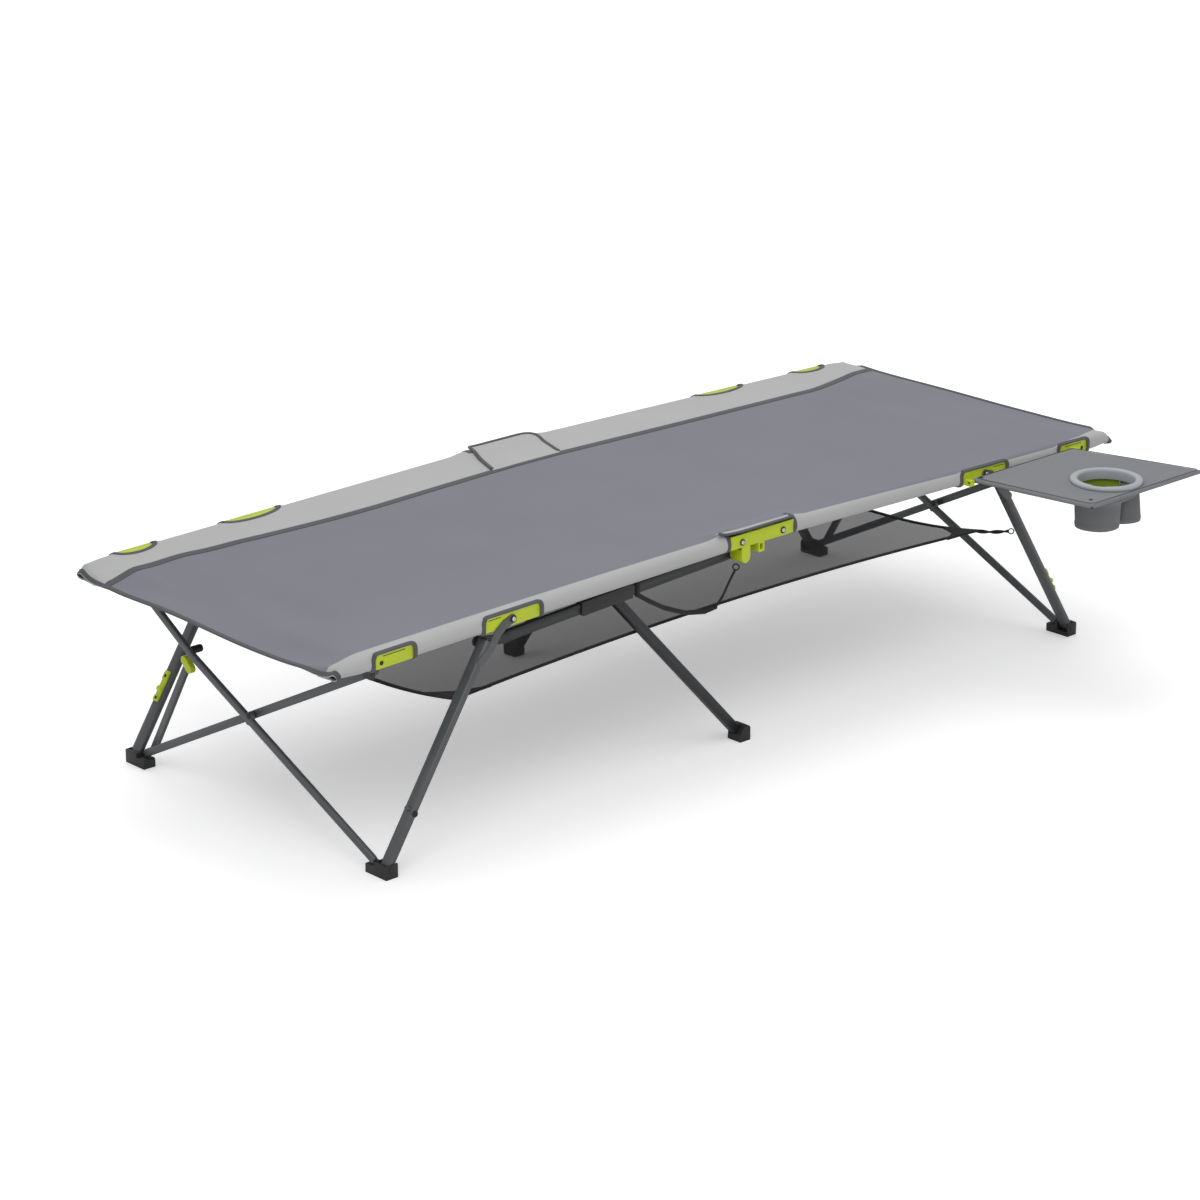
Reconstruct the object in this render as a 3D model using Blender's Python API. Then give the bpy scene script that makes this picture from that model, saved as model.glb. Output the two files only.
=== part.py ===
"""Folding camping cot with a side table, built in metres with +Z up.

The cot stands open. Its length runs along X and its width along Y. The near side is -Y.
Corner pieces are drawn once in corner coordinates: u runs out from the middle along the
length, v runs out across the width, z runs up. side_x and side_y place them at a corner.
"""

import math

import bmesh
import bpy
from mathutils import Vector

for old in list(bpy.data.objects):
    bpy.data.objects.remove(old, do_unlink=True)

# Driving dimensions of the frame
HUB_RIVET = 0.056
HUB_HEIGHT = 0.438
RAIL_SLOPE = math.radians(1.08)
RAIL_SIDE = 0.377
RAIL_RADIUS = 0.011
RAIL_REACH = 0.990
RAIL_STUB = 0.012
QUARTER_AT = 0.5945
END_AT = 0.893
TUBE_WALL = 0.0015
PIN_RADIUS = 0.003
HEAD_RADIUS = 0.006
CLEARANCE = 0.0003
ROUND_SIDES = 16

# Brackets and hubs
SHELL_INNER = 0.3625
SHELL_OUTER = 0.3915
SHELL_HALF_HEIGHT = 0.0135
SHELL_WALL = 0.0027
HUB_HALF_LENGTH = 0.086
HUB_CORE = 0.036
LUG_PIN = (0.044, HUB_HEIGHT - 0.034)
LUG_RADIUS = 0.0155
QUARTER_SPAN = (0.581, 0.716)
END_SPAN = (0.885, 0.975)

# Corner legs and feet
FOOT_PIN_HEIGHT = 0.019
LEG_TOP_OFFSET = (0.0551, -0.0317)
LEG_WIDTH = 0.027
LEG_DEPTH = 0.0147
LEG_SIDE = 0.380
EAR_THICK = 0.003
EAR_HALF_WIDTH = 0.0085
FOOT_HALF_LENGTH = 0.014
FOOT_HEIGHT = 0.028
FOOT_INNER = 0.337
FOOT_STEP = 0.3605
FOOT_OUTER = 0.3965
KNUCKLE_OFFSET = (-0.01314, -0.05031)
KNUCKLE_THICK = 0.004

# Crossed bars at the two ends
CROSS_SIDE = 0.349
CROSS_FOOT_HEIGHT = 0.028
CROSS_TOP_DROP = 0.035
CROSS_WIDTH = 0.016
CROSS_THICK = 0.010
CROSS_GAP = 0.001
BEND_SIDE = 0.171
BEND_DROP = 0.0183
BRACE_SLOPE = math.radians(120.3)
BRACE_LENGTH = 0.252
BRACE_WIDTH = 0.014
BRACE_THICK = 0.008
BRACE_OFFSET = 0.015
BRACE_CAP = (0.038, 0.018, 0.0012)
BRACE_CAP_SLOPE = math.radians(43.9)
STUD_AT = 0.185

# Support bars and middle legs
SUPPORT_SIDE = 0.350
SUPPORT_WIDTH = 0.012
SUPPORT_DEPTH = 0.022
SUPPORT_OVER = 0.016
MIDDLE_SIDE = 0.3295
MIDDLE_TUBE = 0.020
MIDDLE_AT = 0.334
MIDDLE_DROP = 0.0205
MIDDLE_FOOT_HEIGHT = 0.014
MIDDLE_FOOT = (0.028, 0.031)
MIDDLE_FOOT_SIDE = (0.3175, 0.3530)
CUFF_SPAN = (0.314, 0.446)
CUFF_SIDE = (0.3405, 0.3590)
CUFF_WALL = 0.0025

# Bed, shelf and side table
BED_HALF_LENGTH = 1.060
BED_SPLIT = 0.0545
SLEEVE_RADIUS = 0.016
SLEEVE_START = 0.118
BED_THICK = 0.003
BED_SAG = 0.012
END_SAG = {"left": 0.030, "right": 0.008}
FLAP_REACH = 0.105
FLAP_THICK = 0.002
SHELF_HALF = (0.725, 0.316)
SHELF_HEIGHT = (HUB_HEIGHT - 0.170, HUB_HEIGHT - 0.148)
SHELF_DIP = 0.030
SHELF_THICK = 0.0025
SHELF_STRAP = (0.024, 0.0038)
TABLE_HINGE = (0.4085, HUB_HEIGHT - 0.014)
TABLE_PIN = 0.002
TABLE_INNER = (0.583, 0.925)
TABLE_OUTER = (0.642, 0.982)
TABLE_REACH = 0.682
TABLE_ROD = 0.004
TABLE_THICK = 0.003
CUP_AT = (0.778, 0.607)
CUP_RING = (0.074, 0.058, 0.008)
CUP_BODY = (0.050, 0.090, 0.002)
POCKET_AT = (0.857, 0.612)
POCKET_SIZE = (0.027, 0.084)

# Finish colours
GREEN = (0.50, 0.62, 0.03)
TUBE_GREY = (0.085, 0.090, 0.090)
NEAR_BLACK = (0.028, 0.029, 0.030)
FOOT_BLACK = (0.017, 0.017, 0.019)
BED_GREY = (0.22, 0.22, 0.26)
MESH_GREY = (0.16, 0.16, 0.165)
RING_GREY = (0.30, 0.32, 0.35)
POCKET_GREY = (0.20, 0.20, 0.205)

# The origin is the middle of the whole footprint, so the frame stands off centre
FAR_REACH = FOOT_OUTER + 0.0012
root = bpy.data.objects.new("cot", None)
bpy.context.scene.collection.objects.link(root)
NEAR_REACH = TABLE_REACH + TABLE_ROD * math.cos(math.pi / 8)
root.location = (0, (NEAR_REACH - FAR_REACH) / 2, 0)
materials = {}


def finish(name, color, roughness, metallic=0.0):
    """Makes one Principled material."""
    material = bpy.data.materials.new(name)
    material.use_nodes = True
    shader = material.node_tree.nodes["Principled BSDF"]
    shader.inputs["Base Color"].default_value = (*color, 1.0)
    shader.inputs["Roughness"].default_value = roughness
    shader.inputs["Metallic"].default_value = metallic
    materials[name] = material


finish("green_plastic", GREEN, 0.45)
finish("grey_tube", TUBE_GREY, 0.40, 0.6)
finish("black_tube", NEAR_BLACK, 0.40, 0.6)
finish("black_plastic", FOOT_BLACK, 0.55)
finish("bed_cloth", BED_GREY, 0.85)
finish("net_cloth", MESH_GREY, 0.85)
finish("ring_plastic", RING_GREY, 0.50)
finish("pocket_cloth", POCKET_GREY, 0.85)
finish("steel_pin", (0.55, 0.55, 0.56), 0.30, 1.0)


# Meshes as lists of points and faces


def extruded(outline, axis, low, high):
    """A flat outline, given on the plane across the axis, drawn out from low to high."""
    def point(a, b, t):
        return {"x": (t, a, b), "y": (a, t, b), "z": (a, b, t)}[axis]

    count = len(outline)
    points = [point(a, b, low) for a, b in outline] + [point(a, b, high) for a, b in outline]
    faces = [list(range(count)), list(range(count, 2 * count))]
    faces += [[i, (i + 1) % count, count + (i + 1) % count, count + i] for i in range(count)]
    return points, faces


def box(low, high):
    """A box between two corners."""
    outline = [(low[0], low[2]), (high[0], low[2]), (high[0], high[2]), (low[0], high[2])]
    return extruded(outline, "y", low[1], high[1])


def circle(centre, radius, sides=ROUND_SIDES, turn=0.5):
    """Points round a circle, with flat sides at the four quarters."""
    steps = [math.tau * (i + turn) / sides for i in range(sides)]
    return [(centre[0] + radius * math.cos(a), centre[1] + radius * math.sin(a)) for a in steps]


def rod(centre, axis, radius, low, high):
    """A round rod along an axis."""
    return extruded(circle(centre, radius), axis, low, high)


def bore(centre, axis, low, high, radius=PIN_RADIUS):
    """A round cutter whose flats clear a pin of this radius."""
    outer = (radius + CLEARANCE) / math.cos(math.pi / ROUND_SIDES)
    return extruded(circle(centre, outer), axis, low, high)


def strip(centreline, half_width, arc_steps=6):
    """The outline of a flat strip along a centreline, with round ends."""
    def arc(centre, start, turn):
        steps = [start + turn * i / arc_steps for i in range(arc_steps + 1)]
        return [(centre[0] + half_width * math.cos(a), centre[1] + half_width * math.sin(a))
                for a in steps]

    def heading(a, b):
        return math.atan2(b[1] - a[1], b[0] - a[0])

    line = [Vector(p) for p in centreline]
    right, left = [], []
    for before, here, after in zip(line, line[1:-1], line[2:]):
        turn = (heading(before, here) + heading(here, after)) / 2
        side = Vector((math.sin(turn), -math.cos(turn))) * half_width
        right.append(tuple(here + side))
        left.append(tuple(here - side))
    first, last = heading(line[0], line[1]), heading(line[-2], line[-1])
    outline = arc(line[-1], last - math.pi / 2, math.pi)
    outline += left[::-1]
    outline += arc(line[0], first + math.pi / 2, math.pi)
    return outline + right


def rounded(width, depth, radius, steps=3):
    """The outline of a rectangle with round corners."""
    outline = []
    for quarter, (sign_a, sign_b) in enumerate(((1, 1), (-1, 1), (-1, -1), (1, -1))):
        centre = (sign_a * (width / 2 - radius), sign_b * (depth / 2 - radius))
        for step in range(steps):
            angle = math.pi / 2 * (quarter + step / (steps - 1))
            outline.append((centre[0] + radius * math.cos(angle),
                            centre[1] + radius * math.sin(angle)))
    return outline


def rings(path, across, outline, sizes):
    """One ring of points for each point of the path. across is the bar's constant side direction."""
    result = []
    last = len(path) - 1
    for index, here in enumerate(path):
        inward = (Vector(here) - Vector(path[index - 1])).normalized() if index else None
        outward = (Vector(path[index + 1]) - Vector(here)).normalized() if index < last else None
        inward = inward or outward
        outward = outward or inward
        tangent = (inward + outward).normalized()
        up = tangent.cross(across).normalized() / max(tangent.dot(inward), 0.5)
        result.append([Vector(here) + across * a + up * b * sizes[index] for a, b in outline])
    return result


def skin(ring_list, close_ends=True):
    """Faces that join rings of points into one closed skin."""
    count = len(ring_list[0])
    points = [tuple(p) for ring in ring_list for p in ring]
    faces = []
    for row in range(len(ring_list) - 1):
        for i in range(count):
            j = (i + 1) % count
            faces.append([row * count + i, row * count + j,
                          (row + 1) * count + j, (row + 1) * count + i])
    if close_ends:
        faces.append(list(range(count)))
        faces.append([(len(ring_list) - 1) * count + i for i in range(count)])
    return points, faces


def along(start, end, distance):
    """The point at this distance from start towards end."""
    direction = (Vector(end) - Vector(start)).normalized()
    return Vector(start) + direction * distance


def bar_path(points, over_start, over_end):
    """A path that runs past its first and last points, with the steps of a rounded end."""
    first, last = Vector(points[0]), Vector(points[-1])
    start = [along(first, points[1], -over_start * share) for share in (1.0, 0.8, 0.35)]
    end = [along(last, points[-2], -over_end * share) for share in (0.35, 0.8, 1.0)]
    return start + [Vector(p) for p in points[1:-1]] + end


def bar(points, across, width, depth, corner, over_start, over_end):
    """A bar with rounded ends along a path of pin places."""
    path = bar_path(points, over_start, over_end)
    sizes = [0.5, 0.85] + [1.0] * (len(path) - 4) + [0.85, 0.5]
    return skin(rings(path, Vector(across), rounded(width, depth, corner), sizes))


def bar_hollow(points, across, width, depth, corner, wall, margin):
    """The hollow inside a bar, which stops short of both ends."""
    first, last = Vector(points[0]), Vector(points[-1])
    path = [along(first, points[1], margin)] + [Vector(p) for p in points[1:-1]]
    path.append(along(last, points[-2], margin))
    outline = rounded(width - 2 * wall, depth - 2 * wall, max(corner - wall, 0.001))
    return skin(rings(path, Vector(across), outline, [1.0] * len(path)))


# Objects


def mesh_object(name, shape, pivot):
    """An object with its origin on the pivot, from points and faces in cot coordinates."""
    points, faces = shape
    mesh = bpy.data.meshes.new(name)
    mesh.from_pydata([tuple(Vector(p) - Vector(pivot)) for p in points], [], faces)
    mesh.validate()
    work = bmesh.new()
    work.from_mesh(mesh)
    bmesh.ops.recalc_face_normals(work, faces=work.faces)
    work.to_mesh(mesh)
    work.free()
    made = bpy.data.objects.new(name, mesh)
    bpy.context.scene.collection.objects.link(made)
    made.location = pivot
    made.parent = root
    return made


def piece(name, shape, material, pivot=(0, 0, 0), steps=()):
    """A named piece. Each step cuts a shape from it or joins one to it, in order."""
    made = mesh_object(name, shape, pivot)
    made.data.materials.append(materials[material])
    for index, (operation, other) in enumerate(steps):
        helper = mesh_object(f"{name}_{operation.lower()}_{index}", other, pivot)
        helper.hide_render = True
        helper.display_type = "WIRE"
        modifier = made.modifiers.new(helper.name, "BOOLEAN")
        modifier.operation = "DIFFERENCE" if operation == "CUT" else "UNION"
        modifier.solver = "EXACT"
        modifier.object = helper
    made.data.shade_smooth()
    made.data.set_sharp_from_angle(angle=math.radians(35))
    return made


def placed(shape, side_x, side_y):
    """Moves a shape from corner coordinates to its corner."""
    points, faces = shape
    return [(side_x * u, side_y * v, z) for u, v, z in points], faces


# Places on the frame, in corner coordinates


def rail_point(distance, lift=0.0):
    """(u, z) at a distance along the rail from the hub rivet, lifted square to the rail."""
    return (HUB_RIVET + distance * math.cos(RAIL_SLOPE) + lift * math.sin(RAIL_SLOPE),
            HUB_HEIGHT - distance * math.sin(RAIL_SLOPE) + lift * math.cos(RAIL_SLOPE))


def rail_height(u):
    """Height of the rail's axis at this u. The hub is level between its rivets."""
    return HUB_HEIGHT - max(u - HUB_RIVET, 0.0) * math.tan(RAIL_SLOPE)


QUARTER = rail_point(QUARTER_AT)
END = rail_point(END_AT)
FOOT_PIN = (END[0], FOOT_PIN_HEIGHT)
CROSS_TOP = END[1] - CROSS_TOP_DROP
CROSS_MIDDLE = (CROSS_TOP + CROSS_FOOT_HEIGHT) / 2
BEND_SHARE = (BEND_SIDE + CROSS_SIDE) / (2 * CROSS_SIDE)
BEND_AT = (BEND_SIDE, CROSS_FOOT_HEIGHT + (CROSS_TOP - CROSS_FOOT_HEIGHT) * BEND_SHARE - BEND_DROP)
LEG_TOP = (QUARTER[0] + LEG_TOP_OFFSET[0], QUARTER[1] + LEG_TOP_OFFSET[1])
LEG_LENGTH = math.dist(FOOT_PIN, LEG_TOP)
LEG_SLOPE = math.atan2(LEG_TOP[1] - FOOT_PIN[1], FOOT_PIN[0] - LEG_TOP[0])
LEG_OUTER = LEG_SIDE + LEG_WIDTH / 2
LEG_INNER = LEG_SIDE - LEG_WIDTH / 2
KNUCKLE = (QUARTER[0] + KNUCKLE_OFFSET[0], QUARTER[1] + KNUCKLE_OFFSET[1])
SUPPORT_OUTER = SUPPORT_SIDE + SUPPORT_WIDTH / 2
SUPPORT_INNER = SUPPORT_SIDE - SUPPORT_WIDTH / 2


def support_height(u):
    """Height of the support bar's axis at this u."""
    slope = (KNUCKLE[1] - LUG_PIN[1]) / (KNUCKLE[0] - LUG_PIN[0])
    return LUG_PIN[1] + (u - LUG_PIN[0]) * slope


MIDDLE_PIN = (MIDDLE_AT, support_height(MIDDLE_AT) - MIDDLE_DROP)
MIDDLE_END = (0.0, MIDDLE_FOOT_HEIGHT)


# Frame pieces


def hub(name, side_y, support_x):
    """A hub that both rails of one side hinge on. support_x is the side its support bar runs to."""
    top = HUB_HEIGHT + 0.002 + SHELL_HALF_HEIGHT
    low = HUB_HEIGHT + 0.002 - SHELL_HALF_HEIGHT
    shape = box((-HUB_HALF_LENGTH, SHELL_INNER, low), (HUB_HALF_LENGTH, SHELL_OUTER, top))
    steps = []
    lug_u = support_x * LUG_PIN[0]
    lug = strip([(lug_u, LUG_PIN[1] + 0.018), (lug_u, LUG_PIN[1])], LUG_RADIUS - 0.004)
    steps.append(("JOIN", extruded(lug, "y", SHELL_INNER - 0.004, SHELL_OUTER - 0.0002)))
    loop = box((-0.010, SHELL_INNER + 0.0002, low - 0.020), (0.006, SHELL_OUTER - 0.0001, low + 0.002))
    steps.append(("JOIN", loop))
    loop_hole = box((-0.0065, SHELL_INNER - 0.01, low - 0.015), (0.0025, SHELL_OUTER + 0.01, low - 0.003))
    steps.append(("CUT", loop_hole))
    floor = LUG_PIN[1] + 0.0165
    for side_x in (-1, 1):
        ends = sorted((side_x * HUB_CORE, side_x * (HUB_HALF_LENGTH + 0.01)))
        slot = box((ends[0], SHELL_INNER + SHELL_WALL, floor),
                   (ends[1], SHELL_OUTER - SHELL_WALL, top + 0.01))
        steps.append(("CUT", slot))
    for side_x in (-1, 1):
        rivet = (side_x * HUB_RIVET, HUB_HEIGHT)
        steps.append(("JOIN", rod(rivet, "y", PIN_RADIUS, SHELL_INNER + 0.001, SHELL_OUTER + 0.001)))
        steps.append(("JOIN", rod(rivet, "y", HEAD_RADIUS, SHELL_OUTER - 0.001, SHELL_OUTER + 0.0018)))
    pin = (lug_u, LUG_PIN[1])
    steps.append(("JOIN", rod(pin, "y", PIN_RADIUS, SUPPORT_INNER - 0.0015, SHELL_INNER + 0.005)))
    steps.append(("JOIN", rod(pin, "y", HEAD_RADIUS, SUPPORT_INNER - 0.0025,
                              SUPPORT_INNER - CLEARANCE)))
    steps = [(operation, placed(other, 1, side_y)) for operation, other in steps]
    piece(name, placed(shape, 1, side_y), "green_plastic", steps=steps)


def rail(name, side_x, side_y):
    """A round side rail, with cross holes for its hub, quarter and end pins."""
    start, end = rail_point(-RAIL_STUB), rail_point(RAIL_REACH)
    ends = [Vector((start[0], RAIL_SIDE, start[1])), Vector((end[0], RAIL_SIDE, end[1]))]
    outer = rings(ends, Vector((0, 1, 0)), circle((0, 0), RAIL_RADIUS), [1, 1])
    inner = rings(ends, Vector((0, 1, 0)), circle((0, 0), RAIL_RADIUS - TUBE_WALL), [1, 1])
    shape = skin([outer[0], outer[1], inner[1], inner[0], outer[0]], close_ends=False)
    count = ROUND_SIDES
    points = shape[0][:4 * count]
    faces = [[i % (4 * count) for i in face] for face in shape[1]]
    low, high = RAIL_SIDE - 2 * RAIL_RADIUS, RAIL_SIDE + 2 * RAIL_RADIUS
    steps = [("CUT", placed(bore(rail_point(at), "y", low, high), side_x, side_y))
             for at in (0.0, QUARTER_AT, END_AT)]
    pivot = (side_x * HUB_RIVET, side_y * RAIL_SIDE, HUB_HEIGHT)
    piece(name, placed((points, faces), side_x, side_y), "grey_tube", pivot, steps)


def shell(span, distance):
    """The plain body of a rail bracket, and the cutter that lets the rail through it."""
    low, high = span
    corners = []
    for u, lift in ((low, -1), (high, -1), (high, 1), (low, 1)):
        corners.append((u, rail_height(u) + lift * SHELL_HALF_HEIGHT))
    inset = 0.003
    outline = [(corners[0][0] + inset, corners[0][1]), (corners[1][0] - inset, corners[1][1]),
               (corners[1][0], corners[1][1] + inset), (corners[2][0], corners[2][1] - inset),
               (corners[2][0] - inset, corners[2][1]), (corners[3][0] + inset, corners[3][1]),
               (corners[3][0], corners[3][1] - inset), (corners[0][0], corners[0][1] + inset)]
    body = extruded(outline, "y", SHELL_INNER, SHELL_OUTER)
    radius = (RAIL_RADIUS + CLEARANCE) / math.cos(math.pi / ROUND_SIDES)
    ends = [rail_point(distance - 0.12), rail_point(distance + 0.12)]
    path = [Vector((u, RAIL_SIDE, z)) for u, z in ends]
    cutter = skin(rings(path, Vector((0, 1, 0)), circle((0, 0), radius), [1, 1]))
    return body, cutter


def table_lug(u):
    """A bracket's ear outside the rail that a pin of the side table turns in."""
    shape = box((u - 0.006, SHELL_OUTER - 0.002, TABLE_HINGE[1] - 0.0075),
                (u + 0.006, TABLE_HINGE[0] + 0.0045, TABLE_HINGE[1] + 0.0045))
    hole = bore(TABLE_HINGE, "x", u - 0.02, u + 0.02, radius=TABLE_PIN)
    return shape, hole


def quarter_bracket(name, side_x, side_y, holds_table):
    """The bracket that a corner leg hinges on."""
    body, cutter = shell(QUARTER_SPAN, QUARTER_AT)
    steps = [("CUT", cutter)]
    steps.append(("JOIN", rod(QUARTER, "y", PIN_RADIUS, SHELL_INNER + 0.001,
                              SHELL_OUTER + EAR_THICK + 0.0015)))
    head = SHELL_OUTER + EAR_THICK + 2 * CLEARANCE
    steps.append(("JOIN", rod(QUARTER, "y", HEAD_RADIUS, head, head + 0.0015)))
    if holds_table:
        lug, hole = table_lug(TABLE_INNER[0] + 0.006)
        steps += [("JOIN", lug), ("CUT", hole)]
    steps = [(operation, placed(other, side_x, side_y)) for operation, other in steps]
    pivot = (side_x * HUB_RIVET, side_y * RAIL_SIDE, HUB_HEIGHT)
    piece(name, placed(body, side_x, side_y), "green_plastic", pivot, steps)


def end_bracket(name, side_x, side_y, holds_table):
    """The bracket that a yoke of the crossed bars hangs from."""
    body, cutter = shell(END_SPAN, END_AT)
    steps = [("CUT", cutter)]
    steps.append(("JOIN", rod(END, "y", PIN_RADIUS, CROSS_SIDE - 0.0125, SHELL_OUTER + 0.001)))
    steps.append(("JOIN", rod(END, "y", HEAD_RADIUS, SHELL_OUTER - 0.001, SHELL_OUTER + 0.0012)))
    steps.append(("JOIN", rod(END, "y", HEAD_RADIUS, CROSS_SIDE - 0.0130, CROSS_SIDE - 0.0113)))
    if holds_table:
        lug, hole = table_lug(TABLE_INNER[1] - 0.006)
        steps += [("JOIN", lug), ("CUT", hole)]
    steps = [(operation, placed(other, side_x, side_y)) for operation, other in steps]
    pivot = (side_x * HUB_RIVET, side_y * RAIL_SIDE, HUB_HEIGHT)
    piece(name, placed(body, side_x, side_y), "green_plastic", pivot, steps)


def leg_frame(distance, offset=0.0):
    """(u, z) at a distance up the leg from its foot pin, offset towards the outer face."""
    return (FOOT_PIN[0] - distance * math.cos(LEG_SLOPE) + offset * math.sin(LEG_SLOPE),
            FOOT_PIN[1] + distance * math.sin(LEG_SLOPE) + offset * math.cos(LEG_SLOPE))


def leg_face(height):
    """The u where a flat end at this height just clears the leg's inner face."""
    offset = LEG_DEPTH / 2 + CLEARANCE
    up = (height - FOOT_PIN[1] + offset * math.cos(LEG_SLOPE)) / math.sin(LEG_SLOPE)
    return FOOT_PIN[0] - up * math.cos(LEG_SLOPE) - offset * math.sin(LEG_SLOPE)


def corner_leg(name, side_x, side_y, has_stud):
    """A flat-oval leg whose outer wall runs on as a curved ear to the quarter bracket."""
    foot = Vector((FOOT_PIN[0], LEG_SIDE, FOOT_PIN[1]))
    top = Vector((LEG_TOP[0], LEG_SIDE, LEG_TOP[1]))
    outline = rounded(LEG_WIDTH, LEG_DEPTH, 0.006, steps=4)
    hollow = rounded(LEG_WIDTH - 2 * TUBE_WALL, LEG_DEPTH - 2 * TUBE_WALL, 0.0045, steps=4)
    across = Vector((0, 1, 0))
    over = 0.009
    path = [along(foot, top, -over), along(foot, top, -over * 0.75), along(foot, top, -over * 0.3), top]
    outer = rings(path, across, outline, [0.45, 0.85, 1.0, 1.0])
    inner = rings([along(foot, top, -over * 0.3), top], across, hollow, [1.0, 1.0])
    shape = skin(outer + inner[::-1])
    ear = [leg_frame(LEG_LENGTH - 0.040), leg_frame(LEG_LENGTH - 0.012, -0.0085),
           (QUARTER[0] + 0.0350, QUARTER[1] - 0.0190), (QUARTER[0] + 0.0180, QUARTER[1] - 0.0065),
           QUARTER]
    ear_inner = SHELL_OUTER + CLEARANCE
    steps = [("JOIN", extruded(strip(ear, EAR_HALF_WIDTH), "y", ear_inner, ear_inner + EAR_THICK))]
    if has_stud:
        base = leg_frame(0.112, LEG_DEPTH / 2 - 0.001)
        tip = leg_frame(0.112, LEG_DEPTH / 2 + 0.006)
        path = [Vector((base[0], LEG_SIDE, base[1])), Vector((tip[0], LEG_SIDE, tip[1]))]
        steps.append(("JOIN", skin(rings(path, across, circle((0, 0), 0.005), [1, 1]))))
    steps.append(("CUT", bore(FOOT_PIN, "y", LEG_INNER - 0.01, LEG_OUTER + 0.01)))
    steps.append(("CUT", bore(QUARTER, "y", LEG_INNER - 0.01, LEG_OUTER + 0.01)))
    steps = [(operation, placed(other, side_x, side_y)) for operation, other in steps]
    pivot = (side_x * QUARTER[0], side_y * RAIL_SIDE, QUARTER[1])
    piece(name, placed(shape, side_x, side_y), "grey_tube", pivot, steps)


def leg_plug(name, side_x, side_y, has_arm):
    """The plug in a leg's open top. With an arm, it carries the end of the support bar."""
    fit = TUBE_WALL + CLEARANCE
    across = Vector((0, 1, 0))

    def place(distance):
        u, z = leg_frame(distance)
        return Vector((u, LEG_SIDE, z))

    inside = rounded(LEG_WIDTH - 2 * fit, LEG_DEPTH - 2 * fit, 0.0040, steps=4)
    shape = skin(rings([place(LEG_LENGTH - 0.018), place(LEG_LENGTH + 0.002)], across, inside, [1, 1]))
    cap = rounded(LEG_WIDTH - 0.004, LEG_DEPTH, 0.006, steps=4)
    low, high = LEG_LENGTH + CLEARANCE, LEG_LENGTH + 0.0033
    steps = [("JOIN", skin(rings([place(low), place(high)], across, cap, [1, 0.9])))]
    if has_arm:
        plate_high = SHELL_INNER - 0.001
        plate_low = plate_high - KNUCKLE_THICK
        neck = [leg_frame(low + 0.0001, -0.006), leg_frame(low + 0.0001, 0.005),
                leg_frame(high - 0.0001, 0.005), leg_frame(high - 0.0001, -0.006)]
        steps.append(("JOIN", extruded(neck, "y", plate_low + 0.001, LEG_SIDE)))
        bend = leg_frame(LEG_LENGTH - 0.002, -0.0165)
        arm = strip([leg_frame(LEG_LENGTH - 0.008, -0.001), bend, KNUCKLE], 0.0095)
        steps.append(("JOIN", extruded(arm, "y", plate_low, plate_high)))
    steps = [(operation, placed(other, side_x, side_y)) for operation, other in steps]
    pivot = (side_x * QUARTER[0], side_y * RAIL_SIDE, QUARTER[1])
    piece(name, placed(shape, side_x, side_y), "black_plastic", pivot, steps)


def corner_foot(name, side_x, side_y):
    """A stepped foot. The leg turns in its slot, and the crossed bars stand over its low step."""
    low_step = CROSS_FOOT_HEIGHT - CROSS_WIDTH / 2 - 0.0015
    chamfer = 0.002
    outline = [(FOOT_INNER, 0), (FOOT_OUTER, 0), (FOOT_OUTER, FOOT_HEIGHT - chamfer),
               (FOOT_OUTER - chamfer, FOOT_HEIGHT), (FOOT_STEP + chamfer, FOOT_HEIGHT),
               (FOOT_STEP, FOOT_HEIGHT - chamfer), (FOOT_STEP, low_step),
               (FOOT_INNER + chamfer, low_step), (FOOT_INNER, low_step - chamfer)]
    shape = extruded(outline, "x", END[0] - FOOT_HALF_LENGTH, END[0] + FOOT_HALF_LENGTH)
    room = 0.0098
    slot = box((END[0] - 0.03, LEG_INNER - CLEARANCE, FOOT_PIN_HEIGHT - room),
               (END[0] + room, LEG_OUTER + CLEARANCE, FOOT_HEIGHT + 0.01))
    pin = rod(FOOT_PIN, "y", PIN_RADIUS, FOOT_STEP + 0.001, FOOT_OUTER - 0.001)
    head = rod(FOOT_PIN, "y", HEAD_RADIUS, FOOT_OUTER - 0.0005, FOOT_OUTER + 0.0012)
    steps = [("CUT", slot), ("JOIN", pin), ("JOIN", head)]
    steps = [(operation, placed(other, side_x, side_y)) for operation, other in steps]
    pivot = (side_x * FOOT_PIN[0], side_y * LEG_SIDE, FOOT_PIN[1])
    piece(name, placed(shape, side_x, side_y), "black_plastic", pivot, steps)


def leg_clip(name, side_x, side_y):
    """The green clip on the outer face of a leg."""
    across = Vector((0, 1, 0))
    def place(distance, lift):
        u, z = leg_frame(distance, LEG_DEPTH / 2 + CLEARANCE + lift)
        return (u, z)

    outline = [place(0.108, 0), place(0.172, 0), place(0.172, 0.0035), place(0.166, 0.005),
               place(0.156, 0.005), place(0.152, 0.0028), place(0.140, 0.0028), place(0.137, 0.0075),
               place(0.131, 0.0075), place(0.128, 0.0028), place(0.122, 0.0028), place(0.118, 0.005),
               place(0.112, 0.005), place(0.108, 0.0035)]
    shape = extruded(outline, "y", LEG_SIDE - 0.0075, LEG_SIDE + 0.0075)
    pivot = (side_x * QUARTER[0], side_y * RAIL_SIDE, QUARTER[1])
    piece(name, placed(shape, side_x, side_y), "green_plastic", pivot)


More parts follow.
